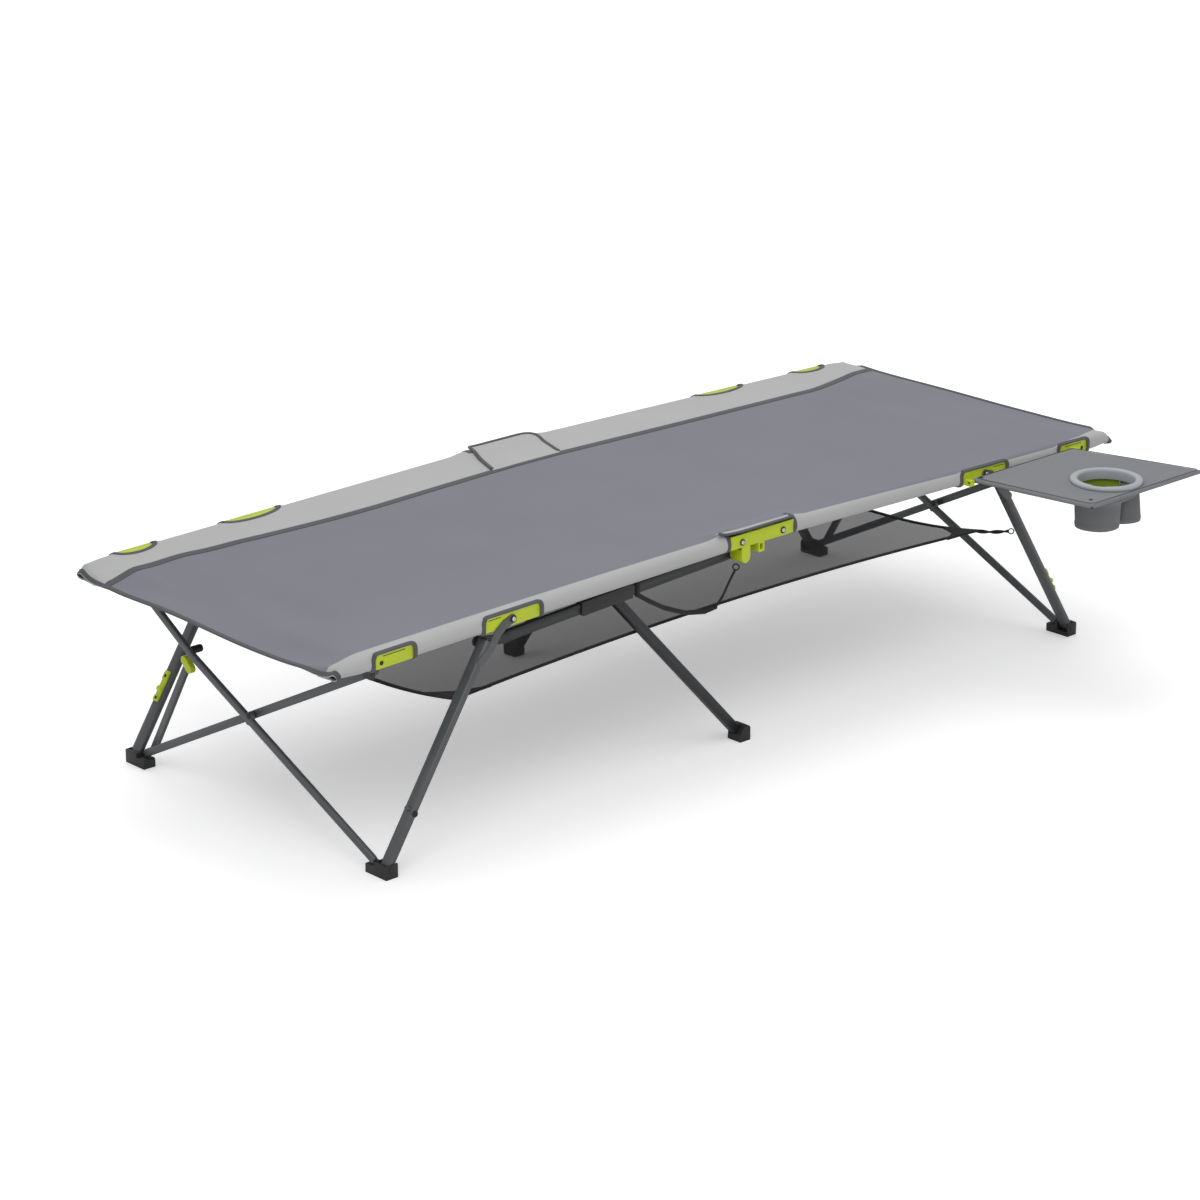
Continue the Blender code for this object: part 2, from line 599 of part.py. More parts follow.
def yoke(name, side_x, side_y, bar_out):
    """The hanger between an end bracket and the top of a crossed bar. bar_out is the bar's side."""
    high, low = END[1] + 0.0055, END[1] - 0.022
    inner, outer = CROSS_SIDE - 0.011, SHELL_INNER - 0.001
    half = CROSS_GAP + CROSS_THICK
    shape = box((END[0] - half, inner, low), (END[0] + half, outer, high))
    ends = sorted((-bar_out * CROSS_GAP, -bar_out * half))
    cheek = box((END[0] + ends[0], inner + 0.0002, CROSS_TOP - 0.010),
                (END[0] + ends[1], outer - 0.0002, low + 0.003))
    reach = sorted((-bar_out * (half - 0.001), bar_out * (half + 0.0015)))
    pin_centre = (CROSS_SIDE, CROSS_TOP)
    pin = rod(pin_centre, "x", PIN_RADIUS, END[0] + reach[0], END[0] + reach[1])
    heads = sorted((bar_out * (half + CLEARANCE), bar_out * (half + 0.0018)))
    head = rod(pin_centre, "x", HEAD_RADIUS, END[0] + heads[0], END[0] + heads[1])
    steps = [("JOIN", cheek), ("JOIN", pin), ("JOIN", head),
             ("CUT", bore(END, "y", inner - 0.01, outer + 0.01))]
    steps = [(operation, placed(other, side_x, side_y)) for operation, other in steps]
    pivot = (side_x * END[0], side_y * CROSS_SIDE, END[1])
    piece(name, placed(shape, side_x, side_y), "black_plastic", pivot, steps)


# Crossed bars, drawn in cot coordinates at one end of the cot


def cross_layer(side_x, layer):
    """The x range of a layer at an end: -1 is the bent bar's, 1 the straight bar's, 2 the brace's."""
    plane = side_x * END[0]
    if layer == 2:
        return plane + BRACE_OFFSET, plane + BRACE_OFFSET + BRACE_THICK
    ends = sorted((layer * CROSS_GAP, layer * (CROSS_GAP + CROSS_THICK)))
    return plane + ends[0], plane + ends[1]


def straight_bar(name, side_x):
    """The bar from the far foot to the near rail, with the brace's pin at its foot."""
    low, high = cross_layer(side_x, 1)
    x = (low + high) / 2
    points = [(x, CROSS_SIDE, CROSS_FOOT_HEIGHT), (x, 0, CROSS_MIDDLE), (x, -CROSS_SIDE, CROSS_TOP)]
    across = (1, 0, 0)
    size = (CROSS_THICK, CROSS_WIDTH, 0.003)
    shape = bar(points, across, *size, CROSS_WIDTH / 2, CROSS_WIDTH / 2)
    steps = [("CUT", bar_hollow(points, across, *size, TUBE_WALL, 0.0))]
    for y, z in ((-CROSS_SIDE, CROSS_TOP), (0, CROSS_MIDDLE)):
        steps.append(("CUT", bore((y, z), "x", low - 0.01, high + 0.01)))
    brace_low, brace_high = cross_layer(side_x, 2)
    foot = (CROSS_SIDE, CROSS_FOOT_HEIGHT)
    steps.append(("JOIN", rod(foot, "x", PIN_RADIUS, low + 0.001, brace_high + 0.0012)))
    steps.append(("JOIN", rod(foot, "x", HEAD_RADIUS, brace_high + CLEARANCE, brace_high + 0.0018)))
    steps.append(("JOIN", rod(foot, "x", HEAD_RADIUS, high - 0.001, brace_low - CLEARANCE)))
    pivot = (side_x * END[0], -CROSS_SIDE, CROSS_TOP)
    piece(name, shape, "grey_tube", pivot, steps)


def bent_bar(name, side_x):
    """The bar from the near foot to the far rail, bent upward, with the brace's stop on it."""
    low, high = cross_layer(side_x, -1)
    x = (low + high) / 2
    points = [(x, -CROSS_SIDE, CROSS_FOOT_HEIGHT), (x, *BEND_AT), (x, CROSS_SIDE, CROSS_TOP)]
    across = (1, 0, 0)
    size = (CROSS_THICK, CROSS_WIDTH, 0.003)
    shape = bar(points, across, *size, CROSS_WIDTH / 2, CROSS_WIDTH / 2)
    slope = (BEND_AT[1] - CROSS_FOOT_HEIGHT) / (BEND_AT[0] + CROSS_SIDE)
    axis_z = CROSS_FOOT_HEIGHT + slope * CROSS_SIDE
    lug = strip([(0.0, CROSS_MIDDLE), (0.004, axis_z)], 0.0075)
    steps = [("JOIN", extruded(lug, "x", low + 0.0002, high - 0.0002)),
             ("CUT", bar_hollow(points, across, *size, TUBE_WALL, 0.0))]
    upper = (CROSS_TOP - BEND_AT[1]) / (CROSS_SIDE - BEND_AT[0])
    stud = (STUD_AT, BEND_AT[1] + upper * (STUD_AT - BEND_AT[0]))
    brace_high = cross_layer(side_x, 2)[1]
    steps.append(("JOIN", rod(stud, "x", 0.005, low + 0.002, brace_high - 0.001)))
    for y, z in ((CROSS_SIDE, CROSS_TOP), (0, CROSS_MIDDLE)):
        steps.append(("CUT", bore((y, z), "x", low - 0.01, high + 0.01)))
    pivot = (side_x * END[0], 0, CROSS_MIDDLE)
    piece(name, shape, "grey_tube", pivot, steps)


def cross_pin(name, side_x):
    """The rivet that the two bars of an end cross on."""
    low, high = cross_layer(side_x, -1)[0], cross_layer(side_x, 1)[1]
    centre = (0.0, CROSS_MIDDLE)
    head = 0.0012
    shape = rod(centre, "x", PIN_RADIUS, low - CLEARANCE - head / 2, high + CLEARANCE + head / 2)
    steps = [("JOIN", rod(centre, "x", HEAD_RADIUS, low - CLEARANCE - head, low - CLEARANCE)),
             ("JOIN", rod(centre, "x", HEAD_RADIUS, high + CLEARANCE, high + CLEARANCE + head))]
    piece(name, shape, "steel_pin", (side_x * END[0], 0, CROSS_MIDDLE), steps)


def brace_point(distance):
    """(y, z) at a distance up the brace from its pin."""
    return (CROSS_SIDE + distance * math.cos(BRACE_SLOPE),
            CROSS_FOOT_HEIGHT + distance * math.sin(BRACE_SLOPE))


def brace(name, side_x):
    """The short brace on the far foot end of the straight bar."""
    low, high = cross_layer(side_x, 2)
    outline = strip([brace_point(0.0), brace_point(BRACE_LENGTH - BRACE_WIDTH / 2)], BRACE_WIDTH / 2)
    steps = [("CUT", bore(brace_point(0.0), "x", low - 0.01, high + 0.01))]
    piece(name, extruded(outline, "x", low, high), "grey_tube",
          (side_x * END[0], CROSS_SIDE, CROSS_FOOT_HEIGHT), steps)


def brace_cap(name, side_x):
    """The green saddle on a brace's free end, which lies along the bent bar."""
    low, high = cross_layer(side_x, 2)
    length, width, wall = BRACE_CAP
    centre = Vector(brace_point(BRACE_LENGTH - 0.0045))
    lean = Vector((math.cos(BRACE_CAP_SLOPE), math.sin(BRACE_CAP_SLOPE))) * (length - width) / 2
    outline = strip([tuple(centre - lean), tuple(centre + lean)], width / 2)
    channel = [brace_point(BRACE_LENGTH / 2), brace_point(BRACE_LENGTH - BRACE_WIDTH / 2)]
    inside = strip(channel, BRACE_WIDTH / 2 + CLEARANCE)
    steps = [("CUT", extruded(inside, "x", low - CLEARANCE, high + CLEARANCE))]
    shape = extruded(outline, "x", low - CLEARANCE - wall, high + CLEARANCE + wall)
    piece(name, shape, "green_plastic", (side_x * END[0], CROSS_SIDE, CROSS_FOOT_HEIGHT), steps)


# Support bars and middle legs


def support_bar(name, side_x, side_y):
    """The bar from a hub's lug to the top of a corner leg."""
    points = [(LUG_PIN[0], SUPPORT_SIDE, LUG_PIN[1]), (KNUCKLE[0], SUPPORT_SIDE, KNUCKLE[1])]
    across = (0, 1, 0)
    size = (SUPPORT_WIDTH, SUPPORT_DEPTH, 0.003)
    shape = bar(points, across, *size, 0.011, SUPPORT_OVER)
    steps = [("CUT", bar_hollow(points, across, *size, TUBE_WALL, -0.002)),
             ("CUT", bore(LUG_PIN, "y", SUPPORT_INNER - 0.01, SUPPORT_OUTER + 0.01)),
             ("JOIN", rod(KNUCKLE, "y", HEAD_RADIUS, SUPPORT_OUTER - 0.001, SUPPORT_OUTER + 0.0010))]
    steps = [(operation, placed(other, side_x, side_y)) for operation, other in steps]
    pivot = (side_x * LUG_PIN[0], side_y * SUPPORT_SIDE, LUG_PIN[1])
    piece(name, placed(shape, side_x, side_y), "black_tube", pivot, steps)


def middle_bracket(name, side_x, side_y):
    """The cuff round a support bar that a middle leg hinges on."""
    low, high = CUFF_SPAN
    half = SUPPORT_DEPTH / 2 + CLEARANCE + CUFF_WALL
    outline = [(low, support_height(low) - half), (high - 0.004, support_height(high) - half),
               (high, support_height(high) - half + 0.004), (high, support_height(high) + half),
               (low, support_height(low) + half)]
    shape = extruded(outline, "y", *CUFF_SIDE)
    path = [Vector((u, SUPPORT_SIDE, support_height(u))) for u in (low - 0.02, high + 0.02)]
    fit = rounded(SUPPORT_WIDTH + 2 * CLEARANCE, SUPPORT_DEPTH + 2 * CLEARANCE, 0.003)
    ear = strip([(MIDDLE_PIN[0], support_height(MIDDLE_PIN[0]) - 0.008), MIDDLE_PIN], 0.012)
    ear_high = SUPPORT_INNER - CLEARANCE
    steps = [("JOIN", extruded(ear, "y", CUFF_SIDE[0] + 0.0001, ear_high)),
             ("CUT", skin(rings(path, Vector((0, 1, 0)), fit, [1, 1])))]
    leg_low = MIDDLE_SIDE - MIDDLE_TUBE / 2
    steps.append(("JOIN", rod(MIDDLE_PIN, "y", PIN_RADIUS, leg_low - 0.0015, ear_high - 0.001)))
    steps.append(("JOIN", rod(MIDDLE_PIN, "y", HEAD_RADIUS, leg_low - 0.0020, leg_low - CLEARANCE)))
    steps = [(operation, placed(other, side_x, side_y)) for operation, other in steps]
    pivot = (side_x * LUG_PIN[0], side_y * SUPPORT_SIDE, LUG_PIN[1])
    piece(name, placed(shape, side_x, side_y), "black_plastic", pivot, steps)


def middle_leg(name, side_x, side_y):
    """The square middle leg, from its foot to the cuff on the support bar."""
    points = [(*MIDDLE_END, 0), (*MIDDLE_PIN, 0)]
    points = [(u, MIDDLE_SIDE, z) for u, z, _ in points]
    across = Vector((0, 1, 0))
    start = along(points[0], points[1], 0.004)
    top = Vector(points[1])
    over = 0.0115
    path = [start, along(top, start, -over * 0.35), along(top, start, -over * 0.8),
            along(top, start, -over)]
    outline = rounded(MIDDLE_TUBE, MIDDLE_TUBE, 0.0035)
    shape = skin(rings(path, across, outline, [1.0, 1.0, 0.85, 0.5]))
    inner = rounded(MIDDLE_TUBE - 2 * TUBE_WALL, MIDDLE_TUBE - 2 * TUBE_WALL, 0.002)
    hollow = skin(rings([along(start, top, 0.002), top], across, inner, [1, 1]))
    steps = [("CUT", hollow),
             ("CUT", bore(MIDDLE_PIN, "y", MIDDLE_SIDE - MIDDLE_TUBE, MIDDLE_SIDE + MIDDLE_TUBE))]
    steps = [(operation, placed(other, side_x, side_y)) for operation, other in steps]
    pivot = (side_x * MIDDLE_PIN[0], side_y * MIDDLE_SIDE, MIDDLE_PIN[1])
    piece(name, placed(shape, side_x, side_y), "black_tube", pivot, steps)


def middle_foot(name, side_x, side_y):
    """The foot cup on a middle leg's end, with a sloping top."""
    half, height = MIDDLE_FOOT[0] / 2, MIDDLE_FOOT[1]
    outline = [(-half, 0), (half, 0), (half, height * 0.45), (0.002, height),
               (-half + 0.004, height), (-half, height - 0.004)]
    shape = extruded(outline, "y", *MIDDLE_FOOT_SIDE)
    start = Vector((MIDDLE_END[0], MIDDLE_SIDE, MIDDLE_END[1]))
    top = Vector((MIDDLE_PIN[0], MIDDLE_SIDE, MIDDLE_PIN[1]))
    fit = MIDDLE_TUBE + 2 * CLEARANCE
    path = [along(start, top, 0.004 - CLEARANCE), along(start, top, 0.08)]
    hole = skin(rings(path, Vector((0, 1, 0)), rounded(fit, fit, 0.0035), [1, 1]))
    pivot = (side_x * MIDDLE_PIN[0], side_y * MIDDLE_SIDE, MIDDLE_PIN[1])
    piece(name, placed(shape, side_x, side_y), "black_plastic", pivot,
          [("CUT", placed(hole, side_x, side_y))])


# Bed, shelf and side table


def bed_top(u, v, end="left"):
    """Height of the bed's top at (u, v). The sling dips across its width, most at its left end."""
    share = (u / BED_HALF_LENGTH) ** 2
    dip = BED_SAG + (END_SAG[end] - BED_SAG) * share
    across = min(abs(v) / RAIL_SIDE, 1.0)
    return rail_height(u) + SLEEVE_RADIUS - dip * (1 - across ** 2)


def bed_section(u, side_x):
    """One cross section of the bed: sling and both rail sleeves, as a ring of points."""
    height = rail_height(u)
    end = "left" if side_x < 0 else "right"
    steps = 12
    arc = [math.radians(95 + 320 * i / steps) for i in range(steps + 1)]
    sleeve = [(-RAIL_SIDE + SLEEVE_RADIUS * math.cos(a), height + SLEEVE_RADIUS * math.sin(a))
              for a in arc]
    cells = 8
    edge = RAIL_SIDE - 0.008
    across = [-edge + 2 * edge * i / cells for i in range(cells + 1)]
    bottom = [(v, bed_top(u, v, end) - BED_THICK) for v in across[1:-1]]
    top = [(v, bed_top(u, v, end)) for v in across[1:-1]]
    far = [(-v, z) for v, z in sleeve[::-1]]
    ring = sleeve + bottom + far + top[::-1]
    return [Vector((side_x * u, v, z)) for v, z in ring]


def rail_cutter(side_x, side_y):
    """The room that a sleeve leaves for its rail."""
    radius = (RAIL_RADIUS + CLEARANCE) / math.cos(math.pi / ROUND_SIDES)
    ends = [rail_point(-0.05), rail_point(RAIL_REACH + CLEARANCE)]
    path = [Vector((u, RAIL_SIDE, z)) for u, z in ends]
    return placed(skin(rings(path, Vector((0, 1, 0)), circle((0, 0), radius), [1, 1])), side_x, side_y)


def bed_half(name, side_x):
    """Half of the bed: the sling and its sleeves, open where the brackets and the hub stand."""
    stations = 6
    us = [BED_SPLIT + (BED_HALF_LENGTH - BED_SPLIT) * i / stations for i in range(stations + 1)]
    shape = skin([bed_section(u, side_x) for u in us])
    steps = []
    spans = [(0.0, SLEEVE_START)] + [(low - 2 * CLEARANCE, high + 2 * CLEARANCE)
                                     for low, high in (QUARTER_SPAN, END_SPAN)]
    for side_y in (-1, 1):
        steps.append(("CUT", rail_cutter(side_x, side_y)))
        for low, high in spans:
            room = box((low, RAIL_SIDE - SLEEVE_RADIUS - 0.0005, HUB_HEIGHT - 0.08),
                       (high, RAIL_SIDE + 2 * SLEEVE_RADIUS, HUB_HEIGHT + 0.04))
            steps.append(("CUT", placed(room, side_x, side_y)))
    pivot = (side_x * HUB_RIVET, -RAIL_SIDE, HUB_HEIGHT)
    piece(name, shape, "bed_cloth", pivot, steps)


def bed_middle(name):
    """The strip of the bed between its halves, with a flap over each hub."""
    half = BED_SPLIT - CLEARANCE
    edge = SHELL_INNER - 2 * CLEARANCE
    cells = 8
    across = [-edge + 2 * edge * i / cells for i in range(cells + 1)]
    outline = [(v, bed_top(0, v)) for v in across]
    outline += [(v, bed_top(0, v) - BED_THICK) for v in across[::-1]]
    shape = extruded(outline, "x", -half, half)
    hub_top = HUB_HEIGHT + 0.002 + SHELL_HALF_HEIGHT + CLEARANCE
    steps = []
    for side_y in (-1, 1):
        flap = extruded([(-FLAP_REACH, edge - 0.010), (FLAP_REACH, edge - 0.010),
                         (FLAP_REACH - 0.012, FOOT_OUTER - 0.002), (-FLAP_REACH + 0.012, FOOT_OUTER - 0.002)],
                        "z", hub_top, hub_top + FLAP_THICK)
        steps.append(("JOIN", placed(flap, 1, side_y)))
        riser = box((-half + 0.0001, edge - 0.010, bed_top(0, edge) - BED_THICK + 0.0005),
                    (half - 0.0001, edge - 0.0003, hub_top + FLAP_THICK / 2))
        steps.append(("JOIN", placed(riser, 1, side_y)))
    piece(name, shape, "bed_cloth", (0, -RAIL_SIDE, HUB_HEIGHT), steps)


def shelf_top(u, v):
    """Height of the shelf's top: slung from its corners and the hubs, low in the middle."""
    ends, middle = SHELF_HEIGHT
    edge = middle + (ends - middle) * (u / SHELF_HALF[0]) ** 2
    return edge - SHELF_DIP * (1 - (v / SHELF_HALF[1]) ** 2)


def shelf_half(name, side_x):
    """Half of the net shelf, with the webbing that ties each corner to its leg."""
    length, width = SHELF_HALF
    cells, rows = 6, 7
    across = [-width + 2 * width * i / cells for i in range(cells + 1)]
    def section(u):
        top = [(v, shelf_top(u, v)) for v in across]
        bottom = [(v, z - SHELF_THICK) for v, z in top[::-1]]
        return [Vector((side_x * u, v, z)) for v, z in top + bottom]

    start = CLEARANCE
    shape = skin([section(start + (length - start) * i / rows) for i in range(rows + 1)])
    base = shelf_top(length, width) - SHELF_THICK + 0.0002
    top = base + SHELF_STRAP[1]
    inset = SHELF_STRAP[0]
    reach = leg_face(top)
    steps = []
    for side_y in (-1, 1):
        outline = [(length - inset, width - 0.004), (length - inset, width - inset),
                   (length - 0.003, width - inset), (reach, LEG_SIDE - 0.007), (reach, LEG_SIDE + 0.006)]
        steps.append(("JOIN", placed(extruded(outline, "z", base, top), side_x, side_y)))
    piece(name, shape, "net_cloth", (side_x * HUB_RIVET, -RAIL_SIDE, HUB_HEIGHT), steps)


def table_outline(inset=0.0):
    """The side table's corners in (u, v), inner edge first."""
    hinge = TABLE_HINGE[0] + 0.004
    return [(TABLE_INNER[0] + 0.016 + inset, hinge + inset), (TABLE_INNER[1] - 0.016 - inset, hinge + inset),
            (TABLE_OUTER[1] - inset, TABLE_REACH - inset), (TABLE_OUTER[0] + inset, TABLE_REACH - inset)]


def side_table_frame():
    """The rods round the side table, with the two hinge pins on the inner rod."""
    z = TABLE_HINGE[1]
    corners = [(TABLE_INNER[0] + 0.020, TABLE_HINGE[0]), (TABLE_OUTER[0], TABLE_REACH),
               (TABLE_OUTER[1], TABLE_REACH), (TABLE_INNER[1] - 0.020, TABLE_HINGE[0])]
    inner_rod = rod(TABLE_HINGE, "x", TABLE_ROD, TABLE_INNER[0] + 0.0125, TABLE_INNER[1] - 0.0125)
    steps = [("JOIN", rod(TABLE_HINGE, "x", TABLE_PIN, TABLE_INNER[0] - 0.001, TABLE_INNER[1] + 0.001))]
    path = [Vector((u, v, z)) for u, v in corners]
    outline = circle((0, 0), TABLE_ROD, sides=8)
    loop = skin(rings(path, Vector((0, 0, 1)), outline, [1] * len(path)))
    steps.append(("JOIN", loop))
    steps = [(operation, placed(other, 1, -1)) for operation, other in steps]
    piece("side_table_frame", placed(inner_rod, 1, -1), "black_tube", (0, -TABLE_HINGE[0], z), steps)


def side_table_top():
    """The cloth over the table's rods, with a round opening for the cup ring."""
    low = TABLE_HINGE[1] + TABLE_ROD + CLEARANCE
    shape = extruded(table_outline(-0.001), "z", low, low + TABLE_THICK)
    hole = extruded(circle(CUP_AT, CUP_RING[1] + 0.006 + CLEARANCE, sides=32), "z", low - 0.01, low + 0.02)
    piece("side_table_top", placed(shape, 1, -1), "bed_cloth", (0, -TABLE_HINGE[0], TABLE_HINGE[1]),
          [("CUT", placed(hole, 1, -1))])


def cup_ring():
    """The moulded ring that the cup pocket hangs from."""
    outer, inner, flange = CUP_RING
    base = TABLE_HINGE[1] + TABLE_ROD + TABLE_THICK + 2 * CLEARANCE
    shape = extruded(circle(CUP_AT, outer, sides=32), "z", base, base + flange)
    collar = extruded(circle(CUP_AT, inner + 0.006, sides=32), "z", base - 0.014, base + 0.001)
    hole = extruded(circle(CUP_AT, inner, sides=32), "z", base - 0.03, base + 0.03)
    steps = [("JOIN", placed(collar, 1, -1)), ("CUT", placed(hole, 1, -1))]
    piece("cup_ring", placed(shape, 1, -1), "ring_plastic", (0, -TABLE_HINGE[0], TABLE_HINGE[1]), steps)


def cup_pocket():
    """The soft cup under the ring, with the small pocket beside it."""
    radius, depth, wall = CUP_BODY
    top = TABLE_HINGE[1] - TABLE_ROD - CLEARANCE
    outer = CUP_RING[1] + 0.006 + CLEARANCE + wall
    rows = ((outer, top), (outer, top - 0.014), (radius, top - 0.026), (radius - 0.003, top - depth))
    def turned(shrink, lift):
        return skin([[Vector((CUP_AT[0] + a, CUP_AT[1] + b, z + (lift if z < top - 0.05 else 0)))
                      for a, b in circle((0, 0), r - shrink, sides=32)] for r, z in rows])

    half, pocket_depth = POCKET_SIZE
    pocket = extruded(circle(POCKET_AT, half, sides=24), "z", top - pocket_depth, top - 0.001)
    hollow = extruded(circle(POCKET_AT, half - wall, sides=24), "z", top - pocket_depth + wall, top + 0.01)
    lip = [[Vector((CUP_AT[0] + a, CUP_AT[1] + b, z)) for a, b in circle((0, 0), outer - wall, sides=32)]
           for z in (top - 0.005, top + 0.01)]
    steps = [("JOIN", placed(pocket, 1, -1)), ("CUT", placed(turned(wall, wall), 1, -1)),
             ("CUT", placed(skin(lip), 1, -1)), ("CUT", placed(hollow, 1, -1))]
    piece("cup_pocket", placed(turned(0, 0), 1, -1), "pocket_cloth",
          (0, -TABLE_HINGE[0], TABLE_HINGE[1]), steps)


# The whole cot

SIDES_X = {"left": -1, "right": 1}
SIDES_Y = {"near": -1, "far": 1}
SUPPORT_CORNERS = (("near", "left"), ("far", "right"))

for row, side_y in SIDES_Y.items():
    support_x = {"near": -1, "far": 1}[row]
    hub(f"{row}_hub", side_y, support_x)
    for end, side_x in SIDES_X.items():
        corner = f"{row}_{end}"
        has_support = (row, end) in SUPPORT_CORNERS
        holds_table = (row, end) == ("near", "right")
        rail(f"{corner}_rail", side_x, side_y)
        quarter_bracket(f"{corner}_quarter_bracket", side_x, side_y, holds_table)
        end_bracket(f"{corner}_end_bracket", side_x, side_y, holds_table)
        corner_leg(f"{corner}_leg", side_x, side_y, has_support)
        leg_plug(f"{corner}_leg_plug", side_x, side_y, has_support)
        corner_foot(f"{corner}_foot", side_x, side_y)
        yoke(f"{corner}_yoke", side_x, side_y, -1 if has_support else 1)
        if has_support:
            support_bar(f"{row}_support_bar", side_x, side_y)
            middle_bracket(f"{row}_middle_bracket", side_x, side_y)
            middle_leg(f"{row}_middle_leg", side_x, side_y)
            middle_foot(f"{row}_middle_foot", side_x, side_y)
        else:
            leg_clip(f"{corner}_leg_clip", side_x, side_y)

for end, side_x in SIDES_X.items():
    straight_bar(f"{end}_straight_bar", side_x)
    bent_bar(f"{end}_bent_bar", side_x)
    cross_pin(f"{end}_cross_pin", side_x)
    brace(f"{end}_brace", side_x)
    brace_cap(f"{end}_brace_cap", side_x)
    bed_half(f"bed_{end}", side_x)
    shelf_half(f"shelf_{end}", side_x)

bed_middle("bed_middle")
side_table_frame()
side_table_top()
cup_ring()
cup_pocket()
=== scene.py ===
"""Folding camping cot with a side table, dressed over its fixed frame. All lengths are in metres.

The cot's length runs along X, its width along Y, and the near side is -Y.
"""

import math

import bpy
import numpy as np
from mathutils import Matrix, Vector, noise


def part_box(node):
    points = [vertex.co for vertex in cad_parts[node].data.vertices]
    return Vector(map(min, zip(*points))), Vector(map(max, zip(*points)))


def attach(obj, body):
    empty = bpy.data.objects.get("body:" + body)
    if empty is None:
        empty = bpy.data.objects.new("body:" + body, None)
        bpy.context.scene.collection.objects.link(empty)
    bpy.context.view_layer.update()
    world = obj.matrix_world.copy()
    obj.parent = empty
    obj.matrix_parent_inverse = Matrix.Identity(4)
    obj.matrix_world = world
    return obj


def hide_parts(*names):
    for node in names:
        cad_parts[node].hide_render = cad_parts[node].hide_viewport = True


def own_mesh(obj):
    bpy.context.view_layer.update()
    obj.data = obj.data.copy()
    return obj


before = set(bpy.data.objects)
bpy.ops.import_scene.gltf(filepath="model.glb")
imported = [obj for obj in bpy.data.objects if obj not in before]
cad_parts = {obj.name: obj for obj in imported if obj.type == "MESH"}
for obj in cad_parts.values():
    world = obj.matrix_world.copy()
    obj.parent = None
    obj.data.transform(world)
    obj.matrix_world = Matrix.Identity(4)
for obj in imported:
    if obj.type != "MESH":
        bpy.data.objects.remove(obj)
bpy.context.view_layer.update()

# The view. A long lens looks down on the cot from beyond its near left corner. Soft light
# from above and from the left falls on a plain pale floor.

MIDDLE_Y = (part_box("near_hub")[0].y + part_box("far_hub")[1].y) / 2
LOOK_AZIMUTH, LOOK_DOWN = math.radians(43.0621), math.radians(19.2958)
CAMERA_PLACE, CAMERA_LENS = (-4.7790, MIDDLE_Y - 5.0444, 2.6391), 108.69
camera_data = bpy.data.cameras.new("studio_camera")
camera_data.sensor_width = 36.0
camera_data.lens = CAMERA_LENS
camera = bpy.data.objects.new("studio_camera", camera_data)
bpy.context.scene.collection.objects.link(camera)
camera.location = CAMERA_PLACE
look = Vector((math.cos(LOOK_DOWN) * math.sin(LOOK_AZIMUTH),
               math.cos(LOOK_DOWN) * math.cos(LOOK_AZIMUTH), -math.sin(LOOK_DOWN)))
camera.rotation_mode = "QUATERNION"
camera.rotation_quaternion = look.to_track_quat("-Z", "Y")
bpy.context.scene.camera = camera
bpy.context.scene.view_settings.view_transform = "Standard"

LAMP_AIM, LAMP_POWER = Vector((0, 0, 0.3)), 62.0
for name, place, size in (("key_light", (-2.6, -2.4, 4.2), 3.2), ("top_light", (1.2, 1.6, 4.6), 4.0)):
    lamp_data = bpy.data.lights.new(name, "AREA")
    lamp_data.shape = "DISK"
    lamp_data.size = size
    lamp_data.energy = LAMP_POWER
    lamp = bpy.data.objects.new(name, lamp_data)
    lamp.location = place
    lamp.rotation_euler = (LAMP_AIM - Vector(place)).to_track_quat("-Z", "Y").to_euler()
    bpy.context.scene.collection.objects.link(lamp)


def open_nodes(owner):
    """The nodes and the links of a new material or world."""
    owner.use_nodes = True
    return owner.node_tree.nodes, owner.node_tree.links


def add_node(nodes, kind, **values):
    """A new shader node of this kind, with the sockets that are named set to their values."""
    made = nodes.new("ShaderNode" + kind)
    for socket, value in values.items():
        made.inputs[socket.replace("_", " ")].default_value = value
    return made


studio = bpy.data.worlds.new("studio")
nodes, links = open_nodes(studio)
room_light = nodes["Background"]
room_light.inputs["Color"].default_value = (1.0, 1.0, 1.0, 1.0)
room_light.inputs["Strength"].default_value = 0.62
backdrop = add_node(nodes, "Background", Strength=1.0)
ray, seen, choose = (add_node(nodes, kind) for kind in ("LightPath", "Math", "MixShader"))
seen.operation = "MAXIMUM"
links.new(ray.outputs["Is Camera Ray"], seen.inputs[0])
links.new(ray.outputs["Is Transmission Ray"], seen.inputs[1])
links.new(seen.outputs[0], choose.inputs[0])
links.new(room_light.outputs[0], choose.inputs[1])
links.new(backdrop.outputs[0], choose.inputs[2])
links.new(choose.outputs[0], nodes["World Output"].inputs["Surface"])
bpy.context.scene.world = studio

FLOOR_REACH = 40
floor_mesh = bpy.data.meshes.new("floor")
floor_mesh.from_pydata([(a * FLOOR_REACH, b * FLOOR_REACH, 0)
                        for a, b in ((-1, -1), (1, -1), (1, 1), (-1, 1))], [], [(0, 1, 2, 3)])
floor = bpy.data.objects.new("floor", floor_mesh)
bpy.context.scene.collection.objects.link(floor)
paper = bpy.data.materials.new("pale_floor")
nodes, links = open_nodes(paper)
nodes["Principled BSDF"].inputs["Base Color"].default_value = (0.93, 0.93, 0.93, 1.0)
nodes["Principled BSDF"].inputs["Roughness"].default_value = 0.9
spot, away, ray, choose, both, glow = (add_node(nodes, kind) for kind in (
    "TexCoord", "VectorMath", "LightPath", "MixShader", "AddShader", "Emission"))
away.operation = "LENGTH"
bright = add_node(nodes, "MapRange", From_Min=0.9, From_Max=4.0, To_Min=0.33, To_Max=0.62)
unlit = add_node(nodes, "Emission", Strength=0.0)
links.new(spot.outputs["Object"], away.inputs[0])
links.new(away.outputs["Value"], bright.inputs["Value"])
links.new(bright.outputs[0], glow.inputs["Strength"])
links.new(ray.outputs["Is Camera Ray"], choose.inputs[0])
